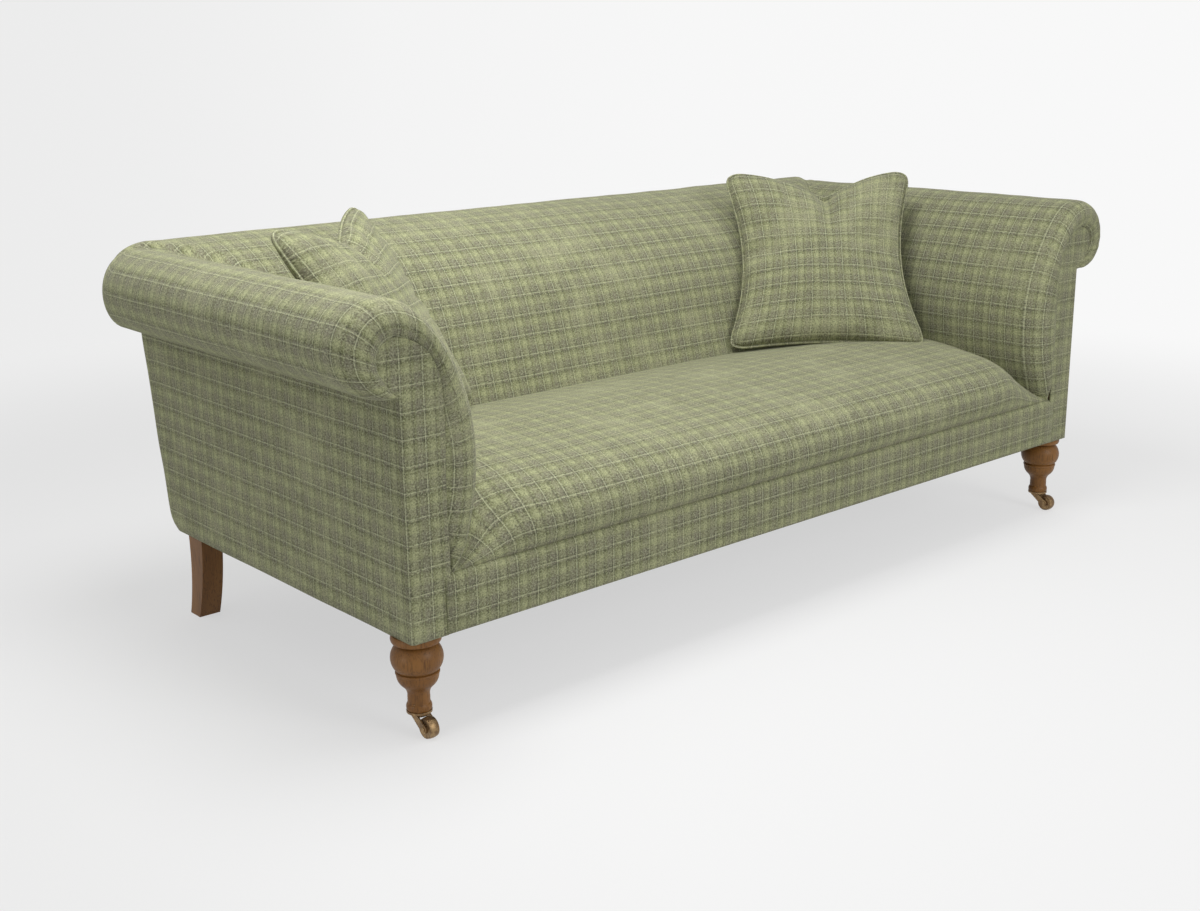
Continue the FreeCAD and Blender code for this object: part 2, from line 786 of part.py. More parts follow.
def build_frame():
    half_front = board_x
    keep(box("front_rail_stock", half_front * 2, d.rail_thick, d.rail_height,
             -half_front, front_rail_y, rail_bottom), "front_seat_rail")
    keep(box("back_rail_stock", half_front * 2, d.rail_thick, d.rail_height,
             -half_front, rear_rail_y, rail_bottom), "back_seat_rail")
    side_y = block_front_y + d.block_length
    keep_pair(box("side_rail_stock", d.rail_thick, rear_block_y - side_y, d.rail_height,
                  rail_outer_x - d.rail_thick, side_y, rail_bottom), "side_seat_rail")
    cross_y = front_rail_y + d.rail_thick
    crosses = []
    for index, side in enumerate((-1, 1)):
        crosses.append(box("cross_rail_%d" % index, d.rail_thick, rear_rail_y - cross_y, d.cross_rail_height,
                           side * d.cross_rail_x - d.rail_thick / 2, cross_y, rail_bottom))
    keep(group("cross_rail_pair", crosses), "seat_cross_rails")


def build_blocks():
    """Four corner blocks, each drilled for the leg bolt and its nut."""
    blocks, bolts, nuts = [], [], []
    block_width = rail_outer_x - board_x
    rear_leg_mid_y = d.rear_leg_top_y + d.rear_leg_top_depth / 2
    rear_leg_mid_x = d.rear_leg_x - d.rear_leg_width / 2
    round_x, round_y = d.base_half_width - d.base_corner_r, d.base_rear_y - d.base_corner_r
    front = box("front_block_stock", block_width, d.block_length, d.rail_height,
                board_x, block_front_y, rail_bottom)
    round_r = rail_outer_x - round_x
    rear = padded("rear_block_stock", "XY_Plane", (
        (board_x, rear_block_y), (rail_outer_x, rear_block_y), (rail_outer_x, round_y),
        (round_x, round_y + round_r), (board_x, round_y + round_r)), d.rail_height,
        {2: (round_x + round_r * math.sqrt(0.5), round_y + round_r * math.sqrt(0.5))})
    place(rear, 0, front_y, rail_bottom + d.rail_height / 2)
    spots = (("front", d.leg_x, d.leg_y, front), ("rear", rear_leg_mid_x, rear_leg_mid_y, rear))
    for end, bolt_x, bolt_y, block in spots:
        hole = rod(end + "_bolt_hole", d.bolt_r, d.rail_height + 2, bolt_x, bolt_y, rail_bottom - 1)
        nut_z = rail_bottom + d.bolt_in_block - d.nut_thick - 2
        well = rod(end + "_nut_well", d.nut_r, rail_top - nut_z + 1, bolt_x, bolt_y, nut_z)
        drilled = cut(end + "_block", block, [hole, well])
        blocks += [drilled, mirror(end + "_block_twin", drilled)]
        bolt = rod(end + "_bolt", d.bolt_r, d.bolt_in_leg + d.bolt_in_block, bolt_x, bolt_y,
                   d.base_bottom - d.bolt_in_leg)
        bolts += [bolt, mirror(end + "_bolt_twin", bolt)]
        ring = rod(end + "_nut_stock", d.nut_r, d.nut_thick, bolt_x, bolt_y, nut_z)
        bore = rod(end + "_nut_bore", d.bolt_r, d.nut_thick + 2, bolt_x, bolt_y, nut_z - 1)
        nut = cut(end + "_nut", ring, [bore])
        nuts += [nut, mirror(end + "_nut_twin", nut)]
    keep(group("corner_block_set", blocks), "corner_blocks")
    keep(group("leg_bolt_set", bolts), "leg_bolts")
    keep(group("leg_nut_set", nuts), "leg_nuts")


def build_posts():
    rear = padded("rear_post_stock", "YZ_Plane", (
        (post_foot_y, rail_top), (post_foot_y + d.post_depth, rail_top),
        (post_head_y + d.post_depth, back_core_z), (post_head_y, back_core_z)), d.post_width)
    place(rear, rail_outer_x - d.post_width / 2, front_y, 0)
    keep_pair(rear, "rear_post")
    posts = []
    for index, side in enumerate((-1, 0, 1)):
        post = padded("back_post_%d" % index, "YZ_Plane", (
            (post_foot_y, rail_top), (post_foot_y + d.post_depth, rail_top),
            (post_head_y + d.post_depth, back_core_z), (post_head_y, back_core_z)), d.post_width)
        place(post, side * d.back_post_x, front_y, 0)
        posts.append(post)
    keep(group("back_post_set", posts), "back_posts")
    rail_half = rail_outer_x
    keep(box("back_top_stock", rail_half * 2, d.top_rail_width, d.top_rail_height,
             -rail_half, back_core_y0, back_core_z), "back_top_rail")
    low = rail_top + d.stuffing_rail_rise
    span = rail_outer_x - d.post_width
    stock = box("stuffing_stock", span * 2, d.stuffing_rail_thick, d.stuffing_rail_height,
                -span, post_foot_y + d.stuffing_rail_thick, low)
    keep(cut("back_stuffing_cut", stock, [group("back_posts_for_stuffing", posts)]), "back_stuffing_rails")


def build_arm_frame():
    round_x = d.base_half_width - d.base_corner_r
    round_r = rail_outer_x - round_x
    back_y = d.facing_thick + d.arm_board_thick
    short = round_r - d.arm_board_thick
    edge_x = round_x + (round_r * round_r - short * short).root()
    middle = round_r * math.sqrt(0.5)
    height = d.arm_roll_z - rail_bottom
    upright = padded("arm_board_upright", "XY_Plane", (
        (board_x, d.facing_thick), (round_x, d.facing_thick), (edge_x, back_y), (board_x, back_y)),
        height, {1: (round_x + middle, d.facing_thick + round_r - middle)})
    place(upright, 0, front_y, rail_bottom + height / 2)
    head = rod("arm_board_head", d.scroll_core_r, d.arm_board_thick,
               d.arm_roll_x, d.facing_thick, d.arm_roll_z, "y")
    keep_pair(fuse("arm_board", [upright, head]), "arm_front_board")
    rail_y = d.facing_thick + d.arm_board_thick
    rail_end = back_core_y0
    keep_pair(box("arm_top_stock", d.top_rail_width, rail_end - rail_y, d.top_rail_height,
                  arm_core_x0, rail_y, arm_core_z), "arm_top_rail")
    low = rail_top + d.stuffing_rail_rise
    keep_pair(box("arm_stuffing_stock", d.stuffing_rail_thick, post_foot_y - rail_y, d.stuffing_rail_height,
                  board_x, rail_y, low), "arm_stuffing_rail")


build_frame()
build_blocks()
build_posts()
build_arm_frame()


# Springs, webbing and the cloth over them

def spring_face():
    """A flat zigzag of wire seen from above, from the front rail to the back rail."""
    wire = number("spring_wire")
    half = number("spring_width") / 2
    start = float(front_rail_y + d.rail_thick) - number("spring_bearing")
    length = float(rear_rail_y) + number("spring_bearing") - start
    turns = int(length // number("spring_pitch"))
    pitch = (length - wire) / turns
    pieces = []
    for turn in range(turns + 1):
        y = start + turn * pitch
        pieces.append(Part.makeBox(2 * half, wire, wire, vec(-half, y, 0)))
        if turn < turns:
            x = half - wire if turn % 2 else -half
            pieces.append(Part.makeBox(wire, pitch + wire, wire, vec(x, y, 0)))
    return pieces[0].fuse(pieces[1:]).removeSplitter()


def spread(count, half):
    return [(-half + 2 * half * (index + 0.5) / count) for index in range(count)]


def build_deck():
    clip_z = RAIL_TOP
    wire_z = clip_z + number("clip_thick")
    spring = spring_face()
    places = spread(int(number("spring_count")), number("arm_foot_x"))
    springs, clips = [], []
    for x in places:
        one = spring.copy()
        one.translate(vec(x, 0, wire_z))
        springs.append(one)
        for y in (float(front_rail_y + d.rail_thick) - number("clip_length"), float(rear_rail_y)):
            clips.append(Part.makeBox(number("clip_length"), number("clip_length"), number("clip_thick"),
                                      vec(x - number("clip_length") / 2, y, clip_z)))
    keep(feature("seat_spring_set", Part.makeCompound(springs)), "seat_springs")
    keep(feature("spring_clip_set", Part.makeCompound(clips)), "spring_clips")
    sheet_z = DECK_Z - number("hessian_thick")
    half = number("arm_foot_x") - 2
    sheet = zone(-half, half, float(front_rail_y) + 2, float(post_foot_y) - 6, sheet_z, DECK_Z)
    keep(feature("seat_hessian_sheet", sheet), "seat_hessian")
    thin = number("dust_thick")
    under = Part.Face(rounded_rectangle(
        number("base_half_width") - number("panel_thick") - 1, number("panel_thick") + 1,
        number("base_rear_y") - number("panel_thick") - 1, 0, number("base_corner_r") - 4))
    cloth = under.extrude(vec(0, 0, thin))
    cloth.translate(vec(0, 0, float(rail_bottom) - thin))
    leg_hole = Part.makeCylinder(
        number("leg_disc_r") + 1, 40, vec(number("leg_x"), number("leg_y"), number("base_bottom") - 20))
    cloth = cloth.cut(both(leg_hole))
    rear_x = number("rear_leg_x") - number("rear_leg_width")
    for side in (-1, 1):
        x0 = min(side * rear_x, side * number("rear_leg_x")) - 1
        cloth = cloth.cut(zone(x0, x0 + number("rear_leg_width") + 2, number("rear_leg_top_y") - 1,
                               number("rear_leg_top_y") + number("rear_leg_top_depth") + 1, 0, 300))
    keep(feature("dust_cloth", cloth), "dust_cover")


def build_webbing():
    thick = number("web_thick")
    low, high = RAIL_TOP + number("stuffing_rail_rise"), float(back_core_z)
    foot, head = float(post_foot_y), float(post_head_y)
    rise = (low - RAIL_TOP) / (high - RAIL_TOP)
    y_low = foot + rise * (head - foot) - thick
    straps = []
    for x in spread(int(number("back_web_count")), float(rail_outer_x)):
        corners = ((y_low, low), (head - thick, high), (head, high), (y_low + thick, low))
        loop = [back_point(*corner) for corner in corners]
        face = Part.Face(Part.makePolygon(loop + [loop[0]]))
        strap = face.extrude(vec(number("web_width"), 0, 0))
        strap.translate(vec(x - number("web_width") / 2, 0, 0))
        straps.append(strap)
    keep(feature("back_strap_set", Part.makeCompound(straps)), "back_webbing")
    arm_straps = []
    start, end = float(block_front_y), float(post_foot_y)
    room = (end - start) / number("arm_web_count")
    for index in range(int(number("arm_web_count"))):
        y = start + room * (index + 0.5) - number("web_width") / 2
        x1 = float(board_x)
        arm_straps.append(zone(x1 - thick, x1, y, y + number("web_width"), low, float(arm_core_z)))
    right = feature("arm_strap_set", Part.makeCompound(arm_straps))
    keep_pair(right, "arm_webbing")


build_deck()
build_webbing()


# Legs and castors

def build_front_leg():
    """A turned leg: disc, belly, waist, vase and foot, drilled for its bolt and screws."""
    height = d.base_bottom - castor_top
    foot_top = d.leg_foot_height
    cove_z = d.leg_cove_z - castor_top
    vase_z = d.leg_vase_z - castor_top
    waist_z = d.leg_waist_z - castor_top
    belly_z = d.leg_belly_z - castor_top
    disc_z = height - d.leg_disc_height
    corners = (
        (0, 0), (d.leg_foot_r - 1.5, 0), (d.leg_foot_r - 1.5, foot_top),
        (d.leg_cove_r, foot_top + 2), (d.leg_cove_r, cove_z), (d.leg_vase_r, vase_z),
        (d.leg_vase_r + 2, vase_z + 2), (d.leg_ring_r - 1, waist_z - 6), (d.leg_waist_r, waist_z),
        (d.leg_neck_r, disc_z - 2), (d.leg_neck_r, disc_z), (d.leg_disc_r - 2, disc_z),
        (d.leg_disc_r - 2, height), (0, height))
    arcs = {
        1: (d.leg_foot_r, foot_top / 2),
        4: (d.leg_cove_r + 1.5, (cove_z + vase_z) / 2 + 2),
        6: (d.leg_ring_r - 3, vase_z + 11),
        7: (d.leg_ring_r + 0.5, waist_z - 3),
        8: (d.leg_belly_r, belly_z),
        11: (d.leg_disc_r, disc_z + d.leg_disc_height / 2),
    }
    body = turned("front_leg_stock", corners, arcs)
    place(body, d.leg_x, front_y + d.leg_y, castor_top)
    bolt_z = d.base_bottom - d.bolt_in_leg
    holes = [rod("leg_bolt_hole", d.bolt_r, d.bolt_in_leg + 1, d.leg_x, d.leg_y, bolt_z)]
    for index, (dx, dy) in enumerate(screw_ring()):
        holes.append(rod("leg_screw_hole_%d" % index, d.castor_screw_r, d.castor_screw_length,
                         d.leg_x + dx, d.leg_y + dy, castor_top))
    keep_pair(cut("front_leg", body, holes), "front_leg")


def screw_ring():
    half = math.sqrt(0.75)
    ring = d.castor_screw_ring
    return ((0, ring * 1), (ring * half, ring * -0.5), (ring * -half, ring * -0.5))


def build_rear_leg():
    mid_z = d.base_bottom / 2
    top_back = d.rear_leg_top_y + d.rear_leg_top_depth
    foot_back = d.rear_leg_foot_y + d.rear_leg_foot_depth
    corners = (
        (d.rear_leg_foot_y, 0), (foot_back, 0),
        (top_back, d.base_bottom), (d.rear_leg_top_y, d.base_bottom))
    arcs = {
        1: ((foot_back + top_back) / 2 - d.rear_leg_sweep, mid_z),
        3: ((d.rear_leg_foot_y + d.rear_leg_top_y) / 2 - d.rear_leg_sweep, mid_z),
    }
    body = padded("rear_leg_stock", "YZ_Plane", corners, d.rear_leg_width, arcs)
    mid_x = d.rear_leg_x - d.rear_leg_width / 2
    place(body, mid_x, front_y, 0)
    mid_y = d.rear_leg_top_y + d.rear_leg_top_depth / 2
    hole = rod("rear_leg_hole", d.bolt_r, d.bolt_in_leg + 1, mid_x, mid_y, d.base_bottom - d.bolt_in_leg)
    keep_pair(cut("rear_leg", body, [hole]), "rear_leg")


def build_castor():
    """A plate castor: fixed plate with its pin, swivelling horn, axle and wheel."""
    plate_z = castor_top - d.castor_plate_thick
    disc_top = plate_z - d.soft_gap
    disc_z = disc_top - d.swivel_disc_thick
    head_z = disc_z - d.soft_gap - d.castor_head_thick
    plate_disc = rod("castor_disc", d.castor_plate_r, d.castor_plate_thick, d.leg_x, d.leg_y, plate_z)
    pin = rod("castor_pin", d.castor_pin_r, plate_z - head_z, d.leg_x, d.leg_y, head_z)
    head = rod("castor_pin_head", d.castor_head_r, d.castor_head_thick, d.leg_x, d.leg_y, head_z)
    solid = fuse("castor_plate_solid", [plate_disc, pin, head])
    holes, screws = [], []
    for index, (dx, dy) in enumerate(screw_ring()):
        x, y = d.leg_x + dx, d.leg_y + dy
        holes.append(rod("plate_hole_%d" % index, d.castor_screw_r, d.castor_plate_thick + 2,
                         x, y, plate_z - 1))
        holes.append(rod("plate_sink_%d" % index, d.castor_screw_r * 1.6, 2, x, y, plate_z))
        shank_length = d.castor_screw_length + d.castor_plate_thick - 1
        shank = rod("screw_shank_%d" % index, d.castor_screw_r, shank_length, x, y, plate_z)
        screw_head = rod("screw_head_%d" % index, d.castor_screw_r * 1.6, 2, x, y, plate_z)
        screw = fuse("castor_screw_%d" % index, [shank, screw_head])
        screws += [screw, mirror("castor_screw_twin_%d" % index, screw)]
    keep_pair(cut("castor_plate", solid, holes), "castor_plate")
    keep(group("castor_screw_set", screws), "castor_screws")

    axle_y = d.leg_y - d.wheel_trail
    cheek_x = d.wheel_width / 2 + d.side_gap
    round_r = d.cheek_round
    disc = rod("swivel_disc", d.swivel_disc_r, d.swivel_disc_thick, d.leg_x, d.leg_y, disc_z)
    diagonal = round_r * math.sqrt(0.5)
    cheeks = []
    for index, side in enumerate((-1, 1)):
        cheek = padded("horn_cheek_%d" % index, "YZ_Plane", (
            (axle_y - diagonal, d.wheel_r + diagonal), (axle_y + diagonal, d.wheel_r - diagonal),
            (d.leg_y + round_r, disc_z + 1), (d.leg_y + round_r, disc_top), (d.leg_y - round_r, disc_top)),
            d.cheek_thick, {0: (axle_y - diagonal, d.wheel_r - diagonal)})
        place(cheek, d.leg_x + side * (cheek_x + d.cheek_thick / 2), front_y, 0)
        cheeks.append(cheek)
    horn = fuse("horn_solid", [disc] + cheeks)
    width = (cheek_x + d.cheek_thick) * 2
    pin_bore = rod("horn_bore", d.castor_pin_r + d.running_gap, d.swivel_disc_thick + 2,
                   d.leg_x, d.leg_y, disc_z - 1)
    axle_bore = rod("horn_axle_bore", d.axle_r, width + 2, d.leg_x - width / 2 - 1, axle_y, d.wheel_r, "x")
    keep_pair(cut("castor_horn", horn, [pin_bore, axle_bore]), "castor_horn")

    shaft = rod("axle_shaft", d.axle_r, width + d.axle_head_thick * 2,
                d.leg_x - width / 2 - d.axle_head_thick, axle_y, d.wheel_r, "x")
    ends = [shaft]
    for index, x in enumerate((d.leg_x - width / 2 - d.axle_head_thick, d.leg_x + width / 2)):
        ends.append(rod("axle_end_%d" % index, d.axle_head_r, d.axle_head_thick, x, axle_y, d.wheel_r, "x"))
    keep_pair(fuse("castor_axle", ends), "castor_axle")

    bore = d.axle_r + d.running_gap
    hub_r, rim_r, edge = d.wheel_r * 0.42, d.wheel_r * 0.8, 1.5
    wheel = turned("castor_wheel_stock", (
        (bore, 0), (hub_r, 0), (hub_r, edge), (rim_r, edge), (d.wheel_r - edge, edge / 2),
        (d.wheel_r - edge, d.wheel_width - edge / 2), (rim_r, d.wheel_width - edge),
        (hub_r, d.wheel_width - edge), (hub_r, d.wheel_width), (bore, d.wheel_width)),
        {4: (d.wheel_r, d.wheel_width / 2)})
    place(wheel, d.leg_x - d.wheel_width / 2, front_y + axle_y, d.wheel_r)
    wheel.Placement.Rotation = FreeCAD.Rotation(FreeCAD.Vector(0, 1, 0), 90)
    keep_pair(wheel, "castor_wheel")


build_front_leg()
build_rear_leg()
build_castor()


# Scatter cushions

def cushion_wire(half, dip, corner, y):
    """A square with drawn-in sides and round corners, all tangent, in the plane at y."""
    middle = half - dip
    centre = half - corner
    gap = middle - centre
    side_r = (centre ** 2 + gap ** 2 - corner ** 2) / (2 * (corner - gap))
    reach = math.hypot(centre, middle + side_r - centre)
    unit = (-centre / reach, (middle + side_r - centre) / reach)
    touch = (centre + corner * unit[0], centre + corner * unit[1])
    peak = corner * math.sqrt(0.5)
    edges = []
    for turn in range(4):
        angle = turn * math.pi / 2
        cos_a, sin_a = round(math.cos(angle)), round(math.sin(angle))

        def spun(x, z):
            return vec(x * cos_a - z * sin_a, y, x * sin_a + z * cos_a)

        right, left = spun(touch[0], touch[1]), spun(-touch[0], touch[1])
        ear, after = spun(-centre - peak, centre + peak), spun(-touch[1], touch[0])
        edges.append(Part.Arc(right, spun(0, middle), left).toShape())
        edges.append(Part.Arc(left, ear, after).toShape())
    return Part.Wire(edges)


def cushion_block(inset):
    """A crowned pillow: level sections that shrink from the seam to the crown on each face."""
    half = number("cushion_half") - inset
    edge = number("cushion_edge_half") - inset / 2
    corner, dip = number("cushion_corner_r"), number("cushion_dip")
    shares = (0.15, 0.4, 0.62, 0.8, 0.92, 1.0)
    loops = []
    for side, crown in ((-1, number("cushion_front_crown")), (1, number("cushion_rear_crown"))):
        ordered = shares if side < 0 else shares[::-1]
        for share in ordered:
            rise = edge + (crown - inset - edge) * (1 - share ** 2) ** 0.7
            loops.append(cushion_wire(half * share, dip * share, corner * share, side * rise))
    return Part.makeLoft(loops, True, True)


def cushion_piping():
    """The cord sewn round the seam, a little outside the cover."""
    cord = number("piping_r")
    reach = number("cushion_half") + cord
    loop = cushion_wire(reach, number("cushion_dip"), number("cushion_corner_r") + cord, 0)
    start = vec(0, 0, reach - number("cushion_dip"))
    ring = Part.Wire(Part.makeCircle(cord, start, vec(1, 0, 0)))
    return loop.makePipeShell([ring], True, False, 2)


def build_cushions():
    outer, inner = cushion_block(0.0), cushion_block(number("cushion_skin"))
    cord = cushion_piping().cut(outer)
    pieces = (("cushion_cover", outer.cut(inner)), ("cushion_insert", inner), ("cushion_piping", cord))
    lean = FreeCAD.Rotation(vec(1, 0, 0), -number("cushion_lean"))
    for side, sign in (("right", 1), ("left", -1)):
        turn = FreeCAD.Rotation(vec(0, 0, 1), -sign * number("cushion_yaw")).multiply(lean)
        x = sign * (number("base_half_width") - number(side + "_cushion_inset"))
        spot = (x, number("cushion_y"), number("cushion_z"), turn)
        for name, shape in pieces:
            label = name + "_" + side
            keep(feature(label + "_shape", shape.copy(), *spot), label)


build_cushions()


# Upholstery

PAIRED = ("arm_cover", "arm_padding", "arm_facing", "outside_arm_panel")

for name, shape in build_upholstery().items():
    made = feature(name, tested(name, shape))
    if name in PAIRED:
        keep_pair(made, name)
    else:
        keep(made, name)


def check_and_export():
    doc.recompute()
    for obj in doc.Objects:
        if "Invalid" in obj.State or "Error" in obj.State:
            raise RuntimeError(obj.Name + " failed: " + str(obj.State))
    os.makedirs("parts", exist_ok=True)
    for piece in subparts:
        shape = piece.Shape
        if shape.isNull() or not shape.isValid():
            raise RuntimeError(piece.Label + " has a bad shape")
        shape.exportStep("parts/" + piece.Label + ".step")
        print(piece.Label, len(shape.Solids), round(shape.Volume))


check_and_export()
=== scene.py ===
import bpy
import math
from mathutils import Matrix, Vector, noise


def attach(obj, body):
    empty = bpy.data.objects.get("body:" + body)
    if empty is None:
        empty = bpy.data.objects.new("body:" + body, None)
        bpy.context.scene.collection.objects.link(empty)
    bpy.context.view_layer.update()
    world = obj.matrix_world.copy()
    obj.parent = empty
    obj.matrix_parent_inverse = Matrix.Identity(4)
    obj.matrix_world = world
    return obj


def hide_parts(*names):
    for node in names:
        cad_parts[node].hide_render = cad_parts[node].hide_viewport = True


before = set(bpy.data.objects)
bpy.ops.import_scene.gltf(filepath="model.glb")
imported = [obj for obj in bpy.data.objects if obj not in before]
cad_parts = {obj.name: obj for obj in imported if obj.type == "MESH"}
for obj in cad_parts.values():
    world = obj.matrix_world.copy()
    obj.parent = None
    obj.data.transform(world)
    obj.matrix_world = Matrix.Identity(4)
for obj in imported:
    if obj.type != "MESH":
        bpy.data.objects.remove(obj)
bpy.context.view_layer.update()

# The front plane of the sofa, and the main sizes of its form, in metres
FRONT = -0.486
BASE_X, BASE_Z = 0.978, 0.184
BASE_CORNER, REAR_CORNER = 0.008, 0.035
ARM_ROLL = (0.999, 0.683)
BACK_ROLL = (0.891, 0.694)
ROLL_R = 0.081
ROLL_END_X = 0.962
ARM_FOOT, ARM_BULGE = (0.886, 0.270), (0.819, 0.485)
ARM_CREST_R, BACK_CREST_R = 0.110, 0.140
BACK_FOOT, BACK_BEND = (0.530, 0.270), (0.612, 0.550)
BACK_ROLL_END = math.radians(42)
CORNER_R = 0.036
INNER_CORNER = 0.13
RIM_DEPTH = 0.045
SKIN = 0.005


# Small tools for curves

def clamp(value, low=0.0, high=1.0):
    return max(low, min(high, value))


def smooth(value):
    value = clamp(value)
    return value * value * (3 - 2 * value)


def mix(a, b, share):
    return a + (b - a) * share


def arc_points(centre, radius, start, end, count):
    return [(centre[0] + radius * math.cos(mix(start, end, i / count)),
             centre[1] + radius * math.sin(mix(start, end, i / count))) for i in range(count + 1)]


def lengths(points):
    """How far along a line of points each one is."""
    total, result = 0.0, [0.0]
    for first, second in zip(points, points[1:]):
        total += math.dist(first, second)
        result.append(total)
    return result


def resample(points, count):
    """The same line with evenly spaced points."""
    along = lengths(points)
    result, index = [], 0
    for step in range(count + 1):
        target = along[-1] * step / count
        while index < len(along) - 2 and along[index + 1] < target:
            index += 1
        span = along[index + 1] - along[index]
        share = (target - along[index]) / span if span else 0.0
        result.append(tuple(mix(a, b, share) for a, b in zip(points[index], points[index + 1])))
    return result


def spline(points, count):
    """A smooth line through a few points, evenly spaced."""
    ends = [points[0]] + list(points) + [points[-1]]
    dense = []
    for p0, p1, p2, p3 in zip(ends, ends[1:], ends[2:], ends[3:]):
        for step in range(24):
            t = step / 24
            dense.append(tuple(
                0.5 * (2 * b + (c - a) * t + (2 * a - 5 * b + 4 * c - e) * t * t
                       + (3 * b - a - 3 * c + e) * t ** 3) for a, b, c, e in zip(p0, p1, p2, p3)))
    dense.append(tuple(points[-1]))
    return resample(dense, count)


def look_up(table, key):
    """The value at key between the rows of a sorted table."""
    if key <= table[0][0]:
        return table[0][1]
    for (k0, v0), (k1, v1) in zip(table, table[1:]):
        if key <= k1:
            return mix(v0, v1, (key - k0) / (k1 - k0))
    return table[-1][1]


# Building pieces

def mesh_piece(name, points, faces, uvs, finish, body, stands_for):
    """A mesh object; uvs gives one cloth coordinate, in metres, for each corner of each face."""
    data = bpy.data.meshes.new(name)
    data.from_pydata([tuple(p) for p in points], [], faces)
    layer = data.uv_layers.new(name="cloth")
    loop = 0
    for face_uvs in uvs:
        for uv in face_uvs:
            layer.data[loop].uv = uv
            loop += 1
    data.polygons.foreach_set("use_smooth", [True] * len(data.polygons))
    data.update()
    piece = bpy.data.objects.new(name, data)
    bpy.context.scene.collection.objects.link(piece)
    data.materials.append(finish)
    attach(piece, body)
    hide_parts(*stands_for)
    return piece


def grid_piece(name, rows, cloth, finish, body, stands_for, outward, thick=SKIN, mirrored=False):
    """A sheet from rows of points with rows of cloth coordinates, thickened inward and closed."""
    width = len(rows[0])
    side = -1 if mirrored else 1
    points = [(side * p[0], p[1], p[2]) for row in rows for p in row]
    flat_cloth = [(side * uv[0], uv[1]) for row in cloth for uv in row]
    faces = []
    for j in range(len(rows) - 1):
        for i in range(width - 1):
            a = j * width + i
            faces.append((a, a + 1, a + 1 + width, a + width))
    first = faces[len(faces) // 2]
    normal = (Vector(points[first[1]]) - Vector(points[first[0]])).cross(
        Vector(points[first[3]]) - Vector(points[first[0]]))
    if normal.dot(Vector(outward)) < 0:
        faces = [tuple(reversed(face)) for face in faces]
    uvs = [[flat_cloth[k] for k in face] for face in faces]
    piece = mesh_piece(name, points, faces, uvs, finish, body, stands_for)
    thicken(piece, thick)
    return piece


def thicken(piece, thick):
    shell = piece.modifiers.new("cloth thickness", "SOLIDIFY")
    shell.thickness = thick
    shell.offset = -1
    apply_all(piece)


def apply_all(piece):
    bpy.context.view_layer.update()
    graph = bpy.context.evaluated_depsgraph_get()
    made = bpy.data.meshes.new_from_object(piece.evaluated_get(graph), depsgraph=graph)
    old = piece.data
    piece.modifiers.clear()
    piece.data = made
    bpy.data.meshes.remove(old)


def cord_loop(name, path, radius, finish, body, stands_for):
    """A round cord that runs along a path and back to its start."""
    count, sides = len(path), 10
    points, faces, uvs = [], [], []
    along = lengths(path + [path[0]])
    for index, here in enumerate(path):
        after, before = path[(index + 1) % count], path[index - 1]
        tangent = (Vector(after) - Vector(before)).normalized()
        up = Vector((0, 0, 1)) if abs(tangent.z) < 0.9 else Vector((0, 1, 0))
        if index:
            up = previous
        across = tangent.cross(up).normalized()
        up = across.cross(tangent).normalized()
        previous = up
        for k in range(sides):
            angle = 2 * math.pi * k / sides
            points.append(Vector(here) + radius * (math.cos(angle) * across + math.sin(angle) * up))
    last, first = points[-sides:], points[:sides]
    shift = min(range(sides), key=lambda s: sum(
        (last[k] - first[(k + s) % sides]).length for k in range(sides)))
    girth = 2 * math.pi * radius
    for j in range(count):
        for k in range(sides):
            a, b = j * sides + k, j * sides + (k + 1) % sides
            if j == count - 1:
                c, e = (k + 1 + shift) % sides, (k + shift) % sides
            else:
                c, e = b + sides, a + sides
            faces.append((a, b, c, e))
            v0, v1 = k / sides, (k + 1) / sides
            uvs.append([(v0 * girth, along[j]), (v1 * girth, along[j]),
                        (v1 * girth, along[j + 1]), (v0 * girth, along[j + 1])])
    return mesh_piece(name, points, faces, uvs, finish, body, stands_for)


def softness(point, seed, amount, size):
    """A gentle, repeatable unevenness."""
    return amount * noise.noise(Vector(point) / size + Vector((seed, seed * 1.7, seed * 0.3)))


# Materials

class Wire:
    """One output of a material's nodes, on which sums can be written."""

    def __init__(self, finish, socket):
        self.finish, self.socket = finish, socket

    def sum(self, operation, *others):
        made = self.finish.node("ShaderNodeMath", {"operation": operation},
                                {i: value for i, value in enumerate((self,) + others)})
        return made("Value")

    def __add__(self, other):
        return self.sum("ADD", other)

    __radd__ = __add__

    def __mul__(self, other):
        return self.sum("MULTIPLY", other)

    __rmul__ = __mul__

    def __sub__(self, other):
        return self.sum("SUBTRACT", other)

    def __rsub__(self, other):
        return self.finish.node("ShaderNodeMath", {"operation": "SUBTRACT"}, {0: other, 1: self})("Value")

    def __truediv__(self, other):
        return self.sum("DIVIDE", other)

    def fraction(self):
        return self.sum("FRACT")

    def away(self):
        return self.sum("ABSOLUTE")


